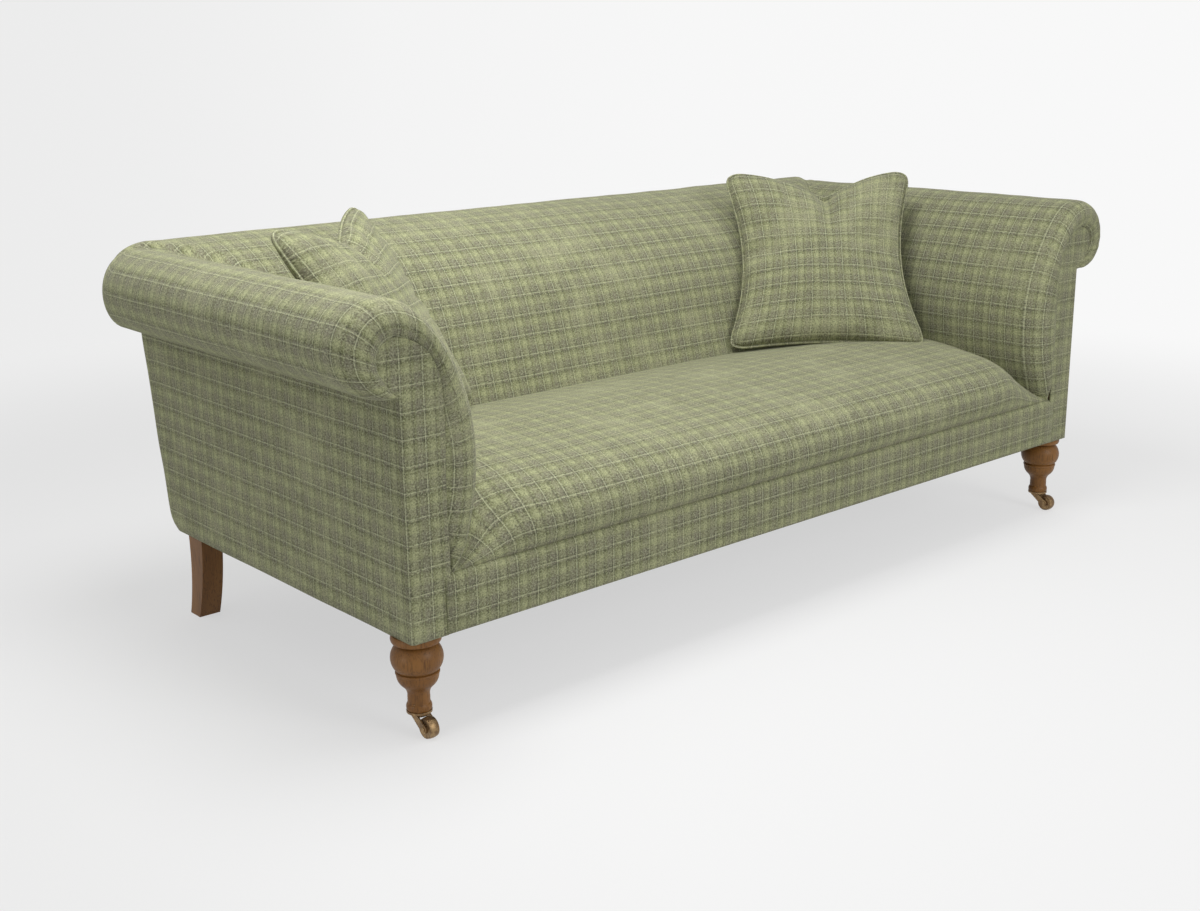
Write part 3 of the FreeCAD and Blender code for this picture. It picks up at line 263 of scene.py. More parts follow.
class Finish:
    """A material being made, with one method for every kind of node."""

    def __init__(self, name, kept_in=bpy.data.materials):
        self.material = kept_in.new(name)
        self.material.use_nodes = True
        self.tree = self.material.node_tree
        self.tree.nodes.clear()

    def node(self, kind, settings=None, inputs=None):
        made = self.tree.nodes.new(kind)
        for key, value in (settings or {}).items():
            if key == "stops":
                ramp = made.color_ramp
                while len(ramp.elements) > 1:
                    ramp.elements.remove(ramp.elements[-1])
                for index, (place, colour) in enumerate(value):
                    element = ramp.elements[0] if index == 0 else ramp.elements.new(place)
                    element.position = place
                    element.color = (*colour, 1)
            else:
                setattr(made, key, value)
        for key, value in (inputs or {}).items():
            self.set(made.inputs[key], value)
        return lambda output: Wire(self, made.outputs[output])

    def set(self, socket, value):
        if isinstance(value, Wire):
            self.tree.links.new(value.socket, socket)
        elif hasattr(value, "__len__") and len(value) == 3 and len(socket.default_value) == 4:
            socket.default_value = (*value, 1)
        else:
            socket.default_value = value

    def noise(self, vector, scale, detail=2.0, rough=0.5):
        return self.node("ShaderNodeTexNoise", {}, {
            "Vector": vector, "Scale": scale, "Detail": detail, "Roughness": rough})("Fac")

    def stretched(self, vector, scale):
        return self.node("ShaderNodeVectorMath", {"operation": "MULTIPLY"}, {0: vector, 1: scale})("Vector")

    def blend(self, share, first, second):
        """Colour of first where share is 0 and of second where it is 1."""
        return self.node("ShaderNodeMix", {"data_type": "RGBA"}, {
            0: share, 6: first, 7: second})(2)

    def ramp(self, value, low, high):
        """0 below low, 1 above high, smooth between."""
        return self.node("ShaderNodeMapRange", {"interpolation_type": "SMOOTHSTEP"}, {
            "Value": value, "From Min": low, "From Max": high})("Result")

    def bump(self, height, strength, distance):
        return self.node("ShaderNodeBump", {}, {
            "Height": height, "Strength": strength, "Distance": distance})("Normal")

    def place(self):
        return self.node("ShaderNodeTexCoord")("Object")

    def finish(self, **sockets):
        shader = self.node("ShaderNodeBsdfPrincipled", {}, {
            key.replace("_", " "): value for key, value in sockets.items()})
        self.node("ShaderNodeOutputMaterial", {}, {"Surface": shader("BSDF")})
        return self.material


# The cloth's repeat, its yarns, and the growth rings of the legs
SETT = 0.0445
RING_WIDTH = 0.009
PALE, DARK = (0.56, 0.58, 0.385), (0.080, 0.078, 0.050)
OLIVE, STRAW, GREY = (0.200, 0.212, 0.105), (0.316, 0.330, 0.178), (0.205, 0.197, 0.140)


def sett_stops(yarns):
    """Ramp stops for bands of yarn, with soft blends between them."""
    stops = []
    for start, end, colour in yarns:
        soft = min(0.07, (end - start) * 0.42)
        stops.append((start + soft, colour))
        stops.append((end - soft, colour))
    return stops


WARP = (
    (0.00, 0.045, PALE), (0.045, 0.085, DARK), (0.085, 0.20, OLIVE), (0.20, 0.50, STRAW),
    (0.50, 0.54, DARK), (0.54, 0.64, OLIVE), (0.64, 0.94, GREY), (0.94, 1.0, DARK))
WEFT = (
    (0.00, 0.045, PALE), (0.045, 0.085, DARK), (0.085, 0.44, GREY), (0.44, 0.74, STRAW),
    (0.74, 0.86, OLIVE), (0.86, 0.94, DARK), (0.94, 1.0, GREY))


def plaid(name):
    """Brushed plaid cloth: warp and weft yarns crossed, with slubs, worn patches and a soft nap."""
    f = Finish(name)
    cloth = f.node("ShaderNodeUVMap", {"uv_map": "cloth"})("UV")
    split = f.node("ShaderNodeSeparateXYZ", {}, {"Vector": cloth})
    u, v = split("X"), split("Y")
    waver = (f.noise(f.stretched(cloth, (9.0, 9.0, 1.0)), 1.0, 2.0) - 0.5) * 0.0014
    warp = ((u + waver) / SETT).fraction()
    weft = ((v + waver) / SETT).fraction()
    warp_colour = f.node("ShaderNodeValToRGB", {"stops": sett_stops(WARP)}, {"Fac": warp})("Color")
    weft_colour = f.node("ShaderNodeValToRGB", {"stops": sett_stops(WEFT)}, {"Fac": weft})("Color")
    slub_u = f.noise(f.stretched(cloth, (1400.0, 120.0, 1.0)), 1.0, 2.0)
    slub_v = f.noise(f.stretched(cloth, (120.0, 1400.0, 1.0)), 1.0, 2.0)
    share = f.ramp(slub_u - slub_v, -0.16, 0.16)
    woven = f.blend(share * 0.4 + 0.3, warp_colour, weft_colour)
    crossing = f.ramp((warp - 0.345).away(), 0.19, 0.0) * f.ramp((weft - 0.60).away(), 0.19, 0.0)
    woven = f.blend(crossing * 0.34, woven, (0.46, 0.475, 0.26))
    worn = f.noise(f.stretched(cloth, (75.0, 75.0, 1.0)), 1.0, 4.0, 0.7)
    woven = f.blend(f.ramp(worn, 0.42, 0.66) * 0.30, woven, (0.275, 0.285, 0.155))
    woven = f.blend(f.ramp(worn, 0.50, 0.32) * 0.24, woven, (0.125, 0.122, 0.078))
    patches = f.noise(f.place(), 7.5, 4.0, 0.62)
    woven = f.blend(f.ramp(patches, 0.47, 0.72) * 0.32, woven, (0.42, 0.425, 0.25))
    shade = f.noise(f.place(), 24.0, 3.0, 0.6)
    woven = f.blend(f.ramp(shade, 0.5, 0.25) * 0.30, woven, (0.09, 0.09, 0.055))
    flecks = f.noise(f.stretched(cloth, (290.0, 290.0, 1.0)), 1.0, 4.0, 0.75)
    woven = f.blend(f.ramp(flecks, 0.51, 0.64) * 0.62, woven, (0.48, 0.50, 0.31))
    woven = f.blend(f.ramp(flecks, 0.49, 0.36) * 0.72, woven, (0.055, 0.055, 0.034))
    height = slub_u * 0.5 + slub_v * 0.5 + flecks * 0.8
    return f.finish(
        Base_Color=woven, Roughness=0.93, Normal=f.bump(height, 0.35, 0.0012),
        Sheen_Weight=0.22, Sheen_Roughness=0.50, Sheen_Tint=(1.0, 1.0, 0.75, 1),
        Specular_IOR_Level=0.12)


def turned_wood(name, dark, mid, light):
    """Oiled hardwood with long grain and fine pores, running up the leg."""
    f = Finish(name)
    here = f.place()
    drift = f.noise(f.stretched(here, (40.0, 40.0, 7.0)), 1.0, 3.0, 0.55)
    grain = f.noise(f.stretched(here, (420.0, 420.0, 26.0)), 1.0, 5.0, 0.65)
    split = f.node("ShaderNodeSeparateXYZ", {}, {"Vector": here})
    bands = ((split("X") * 0.8 + split("Y") * 0.6 + drift * 0.02) / RING_WIDTH).sum("SINE")
    colour = f.blend(f.ramp(bands, -0.9, 0.9) * 0.5, mid, light)
    colour = f.blend(f.ramp(grain, 0.48, 0.70) * 0.65, colour, dark)
    colour = f.blend(f.ramp(drift, 0.55, 0.80) * 0.2, colour, dark)
    return f.finish(
        Base_Color=colour, Roughness=0.42 + grain * 0.16, Normal=f.bump(grain, 0.25, 0.0006),
        Coat_Weight=0.10, Coat_Roughness=0.28, Specular_IOR_Level=0.30)


def sawn_timber(name):
    f = Finish(name)
    here = f.place()
    grain = f.noise(f.stretched(here, (9.0, 90.0, 90.0)), 1.0, 4.0, 0.6)
    colour = f.blend(f.ramp(grain, 0.35, 0.7), (0.52, 0.36, 0.20), (0.30, 0.19, 0.10))
    return f.finish(Base_Color=colour, Roughness=0.75, Normal=f.bump(grain, 0.3, 0.0008))


def aged_brass(name):
    """Antique brass: brown tarnish and brighter brass mottled at random, with fine scuffs."""
    f = Finish(name)
    here = f.place()
    tarnish = f.noise(here, 95.0, 4.0, 0.65)
    scuffs = f.noise(f.stretched(here, (260.0, 260.0, 900.0)), 1.0, 2.0, 0.6)
    colour = f.blend(f.ramp(tarnish, 0.38, 0.66), (0.20, 0.125, 0.065), (0.40, 0.27, 0.135))
    return f.finish(
        Base_Color=colour, Metallic=0.85, Roughness=0.34 + tarnish * 0.22,
        Normal=f.bump(scuffs, 0.12, 0.0003))


def plain_steel(name):
    f = Finish(name)
    marks = f.noise(f.stretched(f.place(), (60.0, 60.0, 60.0)), 1.0, 3.0, 0.6)
    colour = f.blend(marks, (0.42, 0.42, 0.43), (0.60, 0.60, 0.61))
    return f.finish(Base_Color=colour, Metallic=0.9, Roughness=0.35 + marks * 0.2)


def plain_cloth(name, first, second, scale):
    f = Finish(name)
    here = f.place()
    weave = f.noise(f.stretched(here, (scale, scale, scale)), 1.0, 3.0, 0.7)
    colour = f.blend(f.ramp(weave, 0.35, 0.65), first, second)
    return f.finish(Base_Color=colour, Roughness=0.95, Normal=f.bump(weave, 0.4, 0.001))


PLAID = plaid("plaid cloth")
LEG_WOOD = turned_wood("oiled leg wood", (0.045, 0.018, 0.004), (0.190, 0.080, 0.016), (0.300, 0.138, 0.034))
TIMBER = sawn_timber("sawn frame timber")
BRASS = aged_brass("aged brass")
STEEL = plain_steel("plain steel")
WEBBING = plain_cloth("jute webbing", (0.42, 0.32, 0.18), (0.26, 0.19, 0.10), 900.0)
BLACK_CLOTH = plain_cloth("black lining", (0.018, 0.018, 0.018), (0.035, 0.035, 0.035), 1200.0)

for node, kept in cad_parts.items():
    if "leg_" in node and "bolt" not in node and "nut" not in node:
        kept_finish = LEG_WOOD
    elif node.startswith("castor"):
        kept_finish = BRASS
    elif node.startswith(("leg_", "seat_springs", "spring_clips")):
        kept_finish = STEEL
    elif "webbing" in node or "hessian" in node:
        kept_finish = WEBBING
    elif node == "dust_cover":
        kept_finish = BLACK_CLOTH
    else:
        kept_finish = TIMBER
    kept.data.materials.clear()
    kept.data.materials.append(kept_finish)


# The sections of arm and back, as matching lines of points from the foot over the crest to the roll's end

def crest_arcs(start, heading, crest, crest_r, count):
    length = math.hypot(*heading)
    normal = (heading[1] / length, -heading[0] / length)
    centre_b = (crest[0], crest[1] - crest_r)
    gap = (start[0] - centre_b[0], start[1] - centre_b[1])
    across = gap[0] * normal[0] + gap[1] * normal[1]
    radius_a = (crest_r ** 2 - gap[0] ** 2 - gap[1] ** 2) / (2 * across + 2 * crest_r)
    centre_a = (start[0] + radius_a * normal[0], start[1] + radius_a * normal[1])
    begin = math.atan2(start[1] - centre_a[1], start[0] - centre_a[0])
    meet = math.atan2(centre_b[1] - centre_a[1], centre_b[0] - centre_a[0])
    rise = arc_points(centre_a, radius_a, begin, meet, 40)
    top = arc_points(centre_b, crest_r, meet, math.pi / 2, 40)
    return resample(rise + top[1:], count)


# Points on the section's inner side, its crest and its roll
STEPS = (10, 30, 30)


def arm_section():
    rise, run = ARM_BULGE[1] - ARM_FOOT[1], ARM_FOOT[0] - ARM_BULGE[0]
    belly = (rise ** 2 + run ** 2) / (2 * run)
    low = arc_points(
        (ARM_BULGE[0] + belly, ARM_BULGE[1]), belly, math.pi + math.asin(rise / belly), math.pi, 20)
    inner = resample(low, STEPS[0])
    crest = crest_arcs(ARM_BULGE, (0, 1), (ARM_ROLL[0], ARM_ROLL[1] + ROLL_R), ARM_CREST_R, STEPS[1])
    turn = math.asin((ARM_ROLL[0] - ROLL_END_X) / ROLL_R)
    roll = arc_points(ARM_ROLL, ROLL_R, math.pi / 2, -math.pi / 2 - turn, STEPS[2])
    return inner + crest[1:] + roll[1:]


def back_section():
    lean = (BACK_BEND[0] - BACK_FOOT[0], BACK_BEND[1] - BACK_FOOT[1])
    inner = resample([BACK_FOOT, BACK_BEND], STEPS[0])
    crest = crest_arcs(BACK_BEND, lean, (BACK_ROLL[0], BACK_ROLL[1] + ROLL_R), BACK_CREST_R, STEPS[1])
    roll = arc_points(BACK_ROLL, ROLL_R, math.pi / 2, -BACK_ROLL_END, STEPS[2])
    return inner + crest[1:] + roll[1:]


ARM, BACK = arm_section(), back_section()
ARM_ALONG, BACK_ALONG = lengths(ARM), lengths(BACK)
WIDTH = len(ARM)


def corner_radius(index):
    """How widely the section's point swings round the inner corner."""
    if index <= STEPS[0]:
        return INNER_CORNER
    if index <= STEPS[0] + STEPS[1]:
        share = (index - STEPS[0]) / STEPS[1]
        return mix(INNER_CORNER, CORNER_R + 0.004, smooth(share))
    return max(0.031, CORNER_R + ARM[index][0] - ARM_ROLL[0])


def corner_point(index, turn):
    """A point of the swept form on the right: turn 0 is the arm, 1 the back."""
    radius = corner_radius(index)
    angle = turn * math.pi / 2
    x = ARM[index][0] - radius + radius * math.cos(angle)
    y = BACK[index][0] - radius + radius * math.sin(angle)
    z = mix(ARM[index][1], BACK[index][1], smooth(turn))
    return Vector((x, FRONT + y, z))


def section_normals(section):
    """Unit directions out of the section, as (u, z)."""
    result = []
    for index in range(len(section)):
        a = section[max(index - 1, 0)]
        b = section[min(index + 1, len(section) - 1)]
        du, dz = b[0] - a[0], b[1] - a[1]
        size = math.hypot(du, dz) or 1.0
        result.append((-dz / size, du / size))
    return result


ARM_OUT, BACK_OUT = section_normals(ARM), section_normals(BACK)


def groove(distance, depth=0.0045, width=0.012):
    return -depth * math.exp(-(distance / width) ** 2)


def arm_straight_end(index):
    return BACK[index][0] - corner_radius(index)


# The facing panel's edge: up its inner side, over the head and down to the neck

NECK_Z = 0.604
HEAD_TOP = 0.7035
FACING_LEFT = ((0.184, 0.908), (0.26, 0.903), (0.32, 0.899), (0.45, 0.900), (0.53, 0.898),
               (0.585, 0.897), (0.617, 0.900), (0.646, 0.908), (0.671, 0.923), (0.690, 0.947),
               (0.700, 0.970), (HEAD_TOP, 0.984))
FACING_EDGE_LOW = [(0.892, 0.285), (0.900, 0.390), (0.900, 0.485)]
FACING_EDGE_SIDE = [(0.900, 0.485), (0.8975, 0.550), (0.900, 0.617), (0.908, 0.646), (0.923, 0.671),
                    (0.947, 0.690), (0.984, HEAD_TOP)]
FACING_EDGE_HEAD = [(0.984, HEAD_TOP), (1.003, 0.695), (1.014, 0.680), (1.0165, 0.664), (1.012, 0.647),
                    (0.999, 0.627), (0.983, 0.611), (ROLL_END_X, NECK_Z)]
FACING_EDGE = (spline(FACING_EDGE_LOW, STEPS[0]) + spline(FACING_EDGE_SIDE, STEPS[1])[1:]
               + spline(FACING_EDGE_HEAD, STEPS[2])[1:])
RIM_STEPS = 12
RIM_TURN = math.radians(134)
RIM_PROUD, PLEAT_DEPTH, PLEATS_A_METRE = 0.009, 0.0032, 42.0


def rim_point(index, step):
    """A point of the rounded front rim: step 0 is on the arm's side, the last on the facing's edge."""
    angle = RIM_TURN * step / RIM_STEPS
    share = (1 - math.cos(angle)) / (1 - math.cos(RIM_TURN))
    p, q = ARM[index], FACING_EDGE[index]
    x, z = mix(p[0], q[0], share), mix(p[1], q[1], share)
    width = math.dist(p, q)
    puff = min(1.0, width / 0.05)
    along = ARM_ALONG[index]
    pleat = noise.noise(Vector((along * PLEATS_A_METRE, 3.0, 0.0))) * smooth((along - 0.30) / 0.10)
    front = smooth(angle / math.radians(50))
    y = RIM_DEPTH * (1 - math.sin(angle)) - RIM_PROUD * puff + PLEAT_DEPTH * pleat * front * puff
    # Both ends of the rim are tucked back behind the panel
    y += 0.012 * smooth((index - WIDTH + 6) / 5) * front + 0.010 * smooth((3 - index) / 3) * front
    return Vector((x, FRONT + y, z))


def build_arm_cover(side, mirrored):
    rows, cloth = [], []
    rim_along = [[0.0] * WIDTH]
    for step in range(RIM_STEPS - 1, -1, -1):
        previous = rim_along[-1]
        rim_along.append([previous[i] + (rim_point(i, step + 1) - rim_point(i, step)).length
                          for i in range(WIDTH)])
    rim_along.reverse()
    for step in range(RIM_STEPS, -1, -1):
        rows.append([rim_point(i, step) for i in range(WIDTH)])
        cloth.append([(rim_along[step][i] - rim_along[0][i], ARM_ALONG[i]) for i in range(WIDTH)])
    stations = 44
    for station in range(1, stations + 1):
        share = station / stations
        row, row_cloth = [], []
        for i in range(WIDTH):
            end = arm_straight_end(i)
            y = mix(RIM_DEPTH - 0.004, end, share)
            spot = (ARM[i][0], y, ARM[i][1])
            puff = softness(spot, 3, 0.0022, 0.16) + softness(spot, 8, 0.0012, 0.06)
            row.append(Vector((
                ARM[i][0] + ARM_OUT[i][0] * puff, FRONT + y, ARM[i][1] + ARM_OUT[i][1] * puff)))
            row_cloth.append((y - RIM_DEPTH, ARM_ALONG[i]))
        rows.append(row)
        cloth.append(row_cloth)
    turns = 12
    for step in range(1, turns + 1):
        turn = 0.5 * step / turns
        row, row_cloth = [], []
        for i in range(WIDTH):
            radius = corner_radius(i)
            angle = turn * math.pi / 2
            point = corner_point(i, turn)
            pull = groove((0.5 - turn) * math.pi / 2 * max(radius, 0.05))
            ahead = (ARM_OUT[i][0] * math.cos(angle), ARM_OUT[i][0] * math.sin(angle), ARM_OUT[i][1])
            row.append(point + Vector(ahead) * pull)
            row_cloth.append((arm_straight_end(i) - RIM_DEPTH + radius * angle, ARM_ALONG[i]))
        rows.append(row)
        cloth.append(row_cloth)
    piece = grid_piece(
        "arm_cover_" + side + "_cloth", rows, cloth, PLAID, "sofa",
        ("arm_cover_" + side, "arm_padding_" + side),
        outward=(-1 if not mirrored else 1, 0, 0), mirrored=mirrored)
    return piece


def build_back_cover():
    half, cloth_half = [], []
    turns = 12
    for step in range(turns + 1):
        turn = 0.5 + 0.5 * step / turns
        row, row_cloth = [], []
        for i in range(WIDTH):
            radius = corner_radius(i)
            angle = turn * math.pi / 2
            point = corner_point(i, turn)
            pull = groove((turn - 0.5) * math.pi / 2 * max(radius, 0.05))
            ahead = (BACK_OUT[i][0] * math.cos(angle), BACK_OUT[i][0] * math.sin(angle), BACK_OUT[i][1])
            row.append(point + Vector(ahead) * pull)
            start = ARM[i][0] - radius
            row_cloth.append((start + radius * (math.pi / 2 - angle), BACK_ALONG[i]))
        half.append(row)
        cloth_half.append(row_cloth)
    middle, cloth_middle = [], []
    stations = 70
    for station in range(1, stations):
        row, row_cloth = [], []
        for i in range(WIDTH):
            start = ARM[i][0] - corner_radius(i)
            x = mix(start, -start, station / stations)
            spot = (x, BACK[i][0], BACK[i][1])
            puff = softness(spot, 5, 0.003, 0.22) + softness(spot, 11, 0.0012, 0.07)
            row.append(Vector((
                x, FRONT + BACK[i][0] + BACK_OUT[i][0] * puff, BACK[i][1] + BACK_OUT[i][1] * puff)))
            row_cloth.append((x, BACK_ALONG[i]))
        middle.append(row)
        cloth_middle.append(row_cloth)
    other = [[Vector((-p.x, p.y, p.z)) for p in row] for row in reversed(half)]
    cloth_other = [[(-uv[0], uv[1]) for uv in row] for row in reversed(cloth_half)]
    piece = grid_piece(
        "inside_back_cloth", half + middle + other, cloth_half + cloth_middle + cloth_other, PLAID, "sofa",
        ("inside_back_cover", "back_padding"), outward=(0, -1, 0))
    return piece


# Flat panels round the lower body

def facing_left(z):
    return look_up(FACING_LEFT_FINE, z)


FACING_LEFT_FINE = spline(FACING_LEFT, 80)
FACING_RIGHT_FINE = [(z, x) for x, z in reversed(spline(FACING_EDGE_HEAD, 60))]


def build_facing(side, mirrored):
    """The flat front panel of the arm, with its turned outer edge."""
    across = 20
    lows = [mix(BASE_Z, NECK_Z, k / 60) for k in range(61)]
    heads = [mix(NECK_Z, HEAD_TOP, math.sin(math.pi / 2 * k / 24)) for k in range(1, 25)]
    rows, cloth = [], []
    for z in lows + heads:
        left = facing_left(z) - 0.004
        low_part = z <= NECK_Z
        right = BASE_X - BASE_CORNER if low_part else look_up(FACING_RIGHT_FINE, z) + 0.003
        row = [Vector((mix(left, right, k / across), 0.0008, z)) for k in range(across + 1)]
        row_cloth = [(p.x, z) for p in row]
        for k in range(1, 7):
            angle = math.pi / 2 * k / 6
            bend = BASE_CORNER if low_part else 0.002
            row.append(Vector((right + bend * math.sin(angle), 0.0008 + bend * (1 - math.cos(angle)), z)))
            row_cloth.append((right + bend * angle, z))
        rows.append([Vector((p.x, FRONT + p.y, p.z)) for p in row])
        cloth.append(row_cloth)
    piece = grid_piece(
        "arm_facing_" + side + "_cloth", rows, cloth, PLAID, "sofa", ("arm_facing_" + side,),
        outward=(0, -1, 0), thick=0.003, mirrored=mirrored)
    return piece


REAR_EDGE = spline(((0.184, 0.874), (0.196, 0.893), (0.22, 0.906), (0.30, 0.918), (0.36, 0.931),
                    (0.43, 0.940), (0.50, 0.950), (0.56, 0.961), (0.60, 0.965), (0.625, 0.958),
                    (0.645, 0.940)), 80)


def rear_lean(z):
    """The depth of the outer back at height z."""
    return look_up(REAR_EDGE, z)


def build_side_panel(side, mirrored):
    rows, cloth = [], []
    top, count = 0.614, 64
    for k in range(41):
        z = mix(BASE_Z, top, k / 40)
        row, row_cloth = [], []
        rear = rear_lean(z) - REAR_CORNER
        for j in range(count + 1):
            y = mix(BASE_CORNER, rear, j / count)
            slack = softness((BASE_X, y, z), 2, 0.0015, 0.2) * clamp(min(j, count - j) / 3)
            row.append(Vector((BASE_X + slack, FRONT + y, z)))
            row_cloth.append((y, z))
        for a in [math.pi / 4 * s / 5 for s in range(1, 6)]:
            x, y = BASE_X - REAR_CORNER * (1 - math.cos(a)), rear + REAR_CORNER * math.sin(a)
            row.append(Vector((x, FRONT + y, z)))
            row_cloth.append((rear + REAR_CORNER * a, z))
        rows.append(row)
        cloth.append(row_cloth)
    piece = grid_piece(
        "outside_arm_" + side + "_cloth", rows, cloth, PLAID, "sofa", ("outside_arm_panel_" + side,),
        outward=(1 if not mirrored else -1, 0, 0), thick=0.003, mirrored=mirrored)
    return piece


def build_outside_back():
    """The leaning outer back, which meets each side panel on the rear corner's round."""
    rows, cloth = [], []
    top = REAR_EDGE[-1][0]
    for k in range(49):
        z = mix(BASE_Z, top, k / 48)
        rear = rear_lean(z)
        centre = (BASE_X - REAR_CORNER, rear - REAR_CORNER)
        half = [(centre[0] + REAR_CORNER * math.cos(a), centre[1] + REAR_CORNER * math.sin(a))
                for a in [math.pi / 4 * (1 + s / 5) for s in range(6)]]
        half += [(mix(centre[0], 0, s / 24), rear) for s in range(1, 25)]
        path = half + [(-x, y) for x, y in reversed(half[:-1])]
        along = lengths(path)
        shift = along[-1] / 2
        rows.append([Vector((x, FRONT + y, z)) for x, y in path])
        cloth.append([(a - shift, z) for a in along])
    piece = grid_piece(
        "outside_back_cloth", rows, cloth, PLAID, "sofa", ("outside_back_panel",),
        outward=(0, 1, 0), thick=0.003)
    return piece


def build_border():
    """The flat panel under the seat, with its edges turned in."""
    rows, cloth = [], []
    profile = [(0.010, BASE_Z + 0.001), (0.003, BASE_Z), (0.0, BASE_Z + 0.003), (-0.0015, BASE_Z + 0.03),
               (-0.002, 0.24), (-0.0015, 0.272), (0.0005, 0.286), (0.004, 0.2905), (0.010, 0.292)]
    fine = spline(profile, 24)
    along = lengths(fine)
    for (y, z), run in zip(fine, along):
        rows.append([Vector((mix(-0.907, 0.907, j / 60), FRONT + y, z)) for j in range(61)])
        cloth.append([(mix(-0.907, 0.907, j / 60), run + BASE_Z) for j in range(61)])
    piece = grid_piece(
        "front_border_cloth", rows, cloth, PLAID, "sofa", ("front_border",), outward=(0, -1, 0), thick=0.0022)
    return piece


# The seat

SEAT_MIDDLE = [(0.012, 0.288), (0.004, 0.297), (-0.004, 0.318), (0.000, 0.352), (0.022, 0.385),
               (0.060, 0.407), (0.120, 0.420), (0.240, 0.428), (0.380, 0.428), (0.500, 0.414),
               (0.600, 0.396)]
SEAT_END = [(0.012, 0.286), (0.006, 0.293), (0.004, 0.297), (0.014, 0.303), (0.038, 0.313), (0.072, 0.327),
            (0.116, 0.350), (0.176, 0.372), (0.300, 0.400), (0.440, 0.402), (0.600, 0.396)]
SEAT_HALF = 0.894
SEAT_RUN = 0.190


def seat_fullness(x):
    near = clamp((0.872 - abs(x)) / SEAT_RUN)
    return math.sin(near * math.pi / 2) ** 1.15


def seat_cloth_at(x, along):
    """Cloth coordinates on the seat: square in the middle, fanned round each low front corner."""
    out = SEAT_HALF - abs(x)
    bend = along * math.exp(-(along / 0.17) ** 2)
    ring = math.hypot(out, bend)
    fan = 0.15 * math.atan2(along, out + 1e-6)
    square = smooth((math.hypot(out, along) - 0.05) / 0.20)
    return math.copysign(SEAT_HALF - ring, x), mix(fan, along, square)


def build_seat():
    fine_middle, fine_end = spline(SEAT_MIDDLE, 66), spline(SEAT_END, 66)
    along_middle, along_end = lengths(fine_middle), lengths(fine_end)
    stations = [SEAT_HALF * math.sin((k / 120 * 2 - 1) * math.pi / 2) for k in range(121)]
    rows, cloth = [], []
    for i in range(67):
        row, row_cloth = [], []
        for x in stations:
            full = seat_fullness(x)
            crown = 0.004 * (1 - (x / SEAT_HALF) ** 2) * smooth((i - 20) / 20)
            y = mix(fine_end[i][0], fine_middle[i][0], full)
            z = mix(fine_end[i][1], fine_middle[i][1], full) + crown - 0.002
            spot = (x, y, z)
            z += softness(spot, 4, 0.0025, 0.2) * smooth((i - 12) / 12)
            row.append(Vector((x, FRONT + y, z)))
            row_cloth.append(seat_cloth_at(x, mix(along_end[i], along_middle[i], full)))
        rows.append(row)
        cloth.append(row_cloth)
    piece = grid_piece(
        "seat_cloth", rows, cloth, PLAID, "sofa", ("seat_cover", "seat_padding"), outward=(0, 0, 1))
    return piece


# The scatter cushions

CUSHION_HALF, CUSHION_PUFF = 0.231, 0.070
CUSHION_WAIST, CUSHION_CHOP, CUSHION_ARCH = 0.040, 0.072, 0.018
CUSHION_YAW = {"right": math.radians(-40.5), "left": math.radians(38)}
CUSHION_LEAN = math.radians(30)
PIPING_R = 0.0042
# Where each crease of the waist starts, its slope, its width and its depth
WAIST_CREASES = ((0.02, 0.10, 0.075, 0.011), (0.34, -0.30, 0.06, 0.005), (-0.30, 0.35, 0.07, 0.006))
TOP_CREASE_X = 0.06
CUSHION_SPOT = {"right": (0.610, 0.490, 0.617), "left": (-0.694, 0.493, 0.623)}


def cushion_turn(side):
    return Matrix.Rotation(CUSHION_YAW[side], 3, "Z") @ Matrix.Rotation(-CUSHION_LEAN, 3, "X")


def cushion_outline(a, b):
    """A square point in -1..1 moved on to the pillow's outline, whose sides pull in between the corners."""
    x = a * (CUSHION_HALF + 0.009 * max(0.0, -b) ** 3 - CUSHION_WAIST * (1 - b * b) ** 1.3)
    if b > 0:
        pull = CUSHION_CHOP * (1 - a * a) * math.exp(-(abs(a - TOP_CREASE_X) / 0.50) ** 1.3)
        z = b * CUSHION_HALF - pull * b ** 1.6
    else:
        z = b * (CUSHION_HALF - CUSHION_ARCH * (1 - a * a))
    corner = clamp((abs(a) + abs(b) - 1.80) / 0.20)
    trim = 1 - 0.05 * corner * corner
    return x * trim, z * trim


def cushion_folds(a, b, face, seed):
    """Creases that run in from the waists and down from the chopped top, with puckers along the seam."""
    side = math.copysign(1, a)
    near_side = smooth((abs(a) - 0.25) / 0.55)
    creases = 0.0
    for spot, slope, width, deep in WAIST_CREASES:
        here = b - spot - slope * (1 - abs(a)) * (1 + 0.3 * side)
        creases -= deep * math.exp(-(here / width) ** 2) * near_side
    down = smooth((b + 0.05) / 0.9)
    creases -= 0.024 * math.exp(-((a - TOP_CREASE_X) / 0.10) ** 2) * down
    for lean in (-0.42, 0.46):
        here = a - lean * (0.35 + 0.65 * b)
        creases -= 0.007 * math.exp(-(here / 0.07) ** 2) * down
    rim = min(1 - abs(a), 1 - abs(b))
    along = b if abs(a) > abs(b) else a
    pucker = noise.noise(Vector((along * 11.0, seed, face * 3.0 + side)))
    creases += 0.0050 * pucker * smooth(rim / 0.05) * math.exp(-rim / 0.16)
    return creases


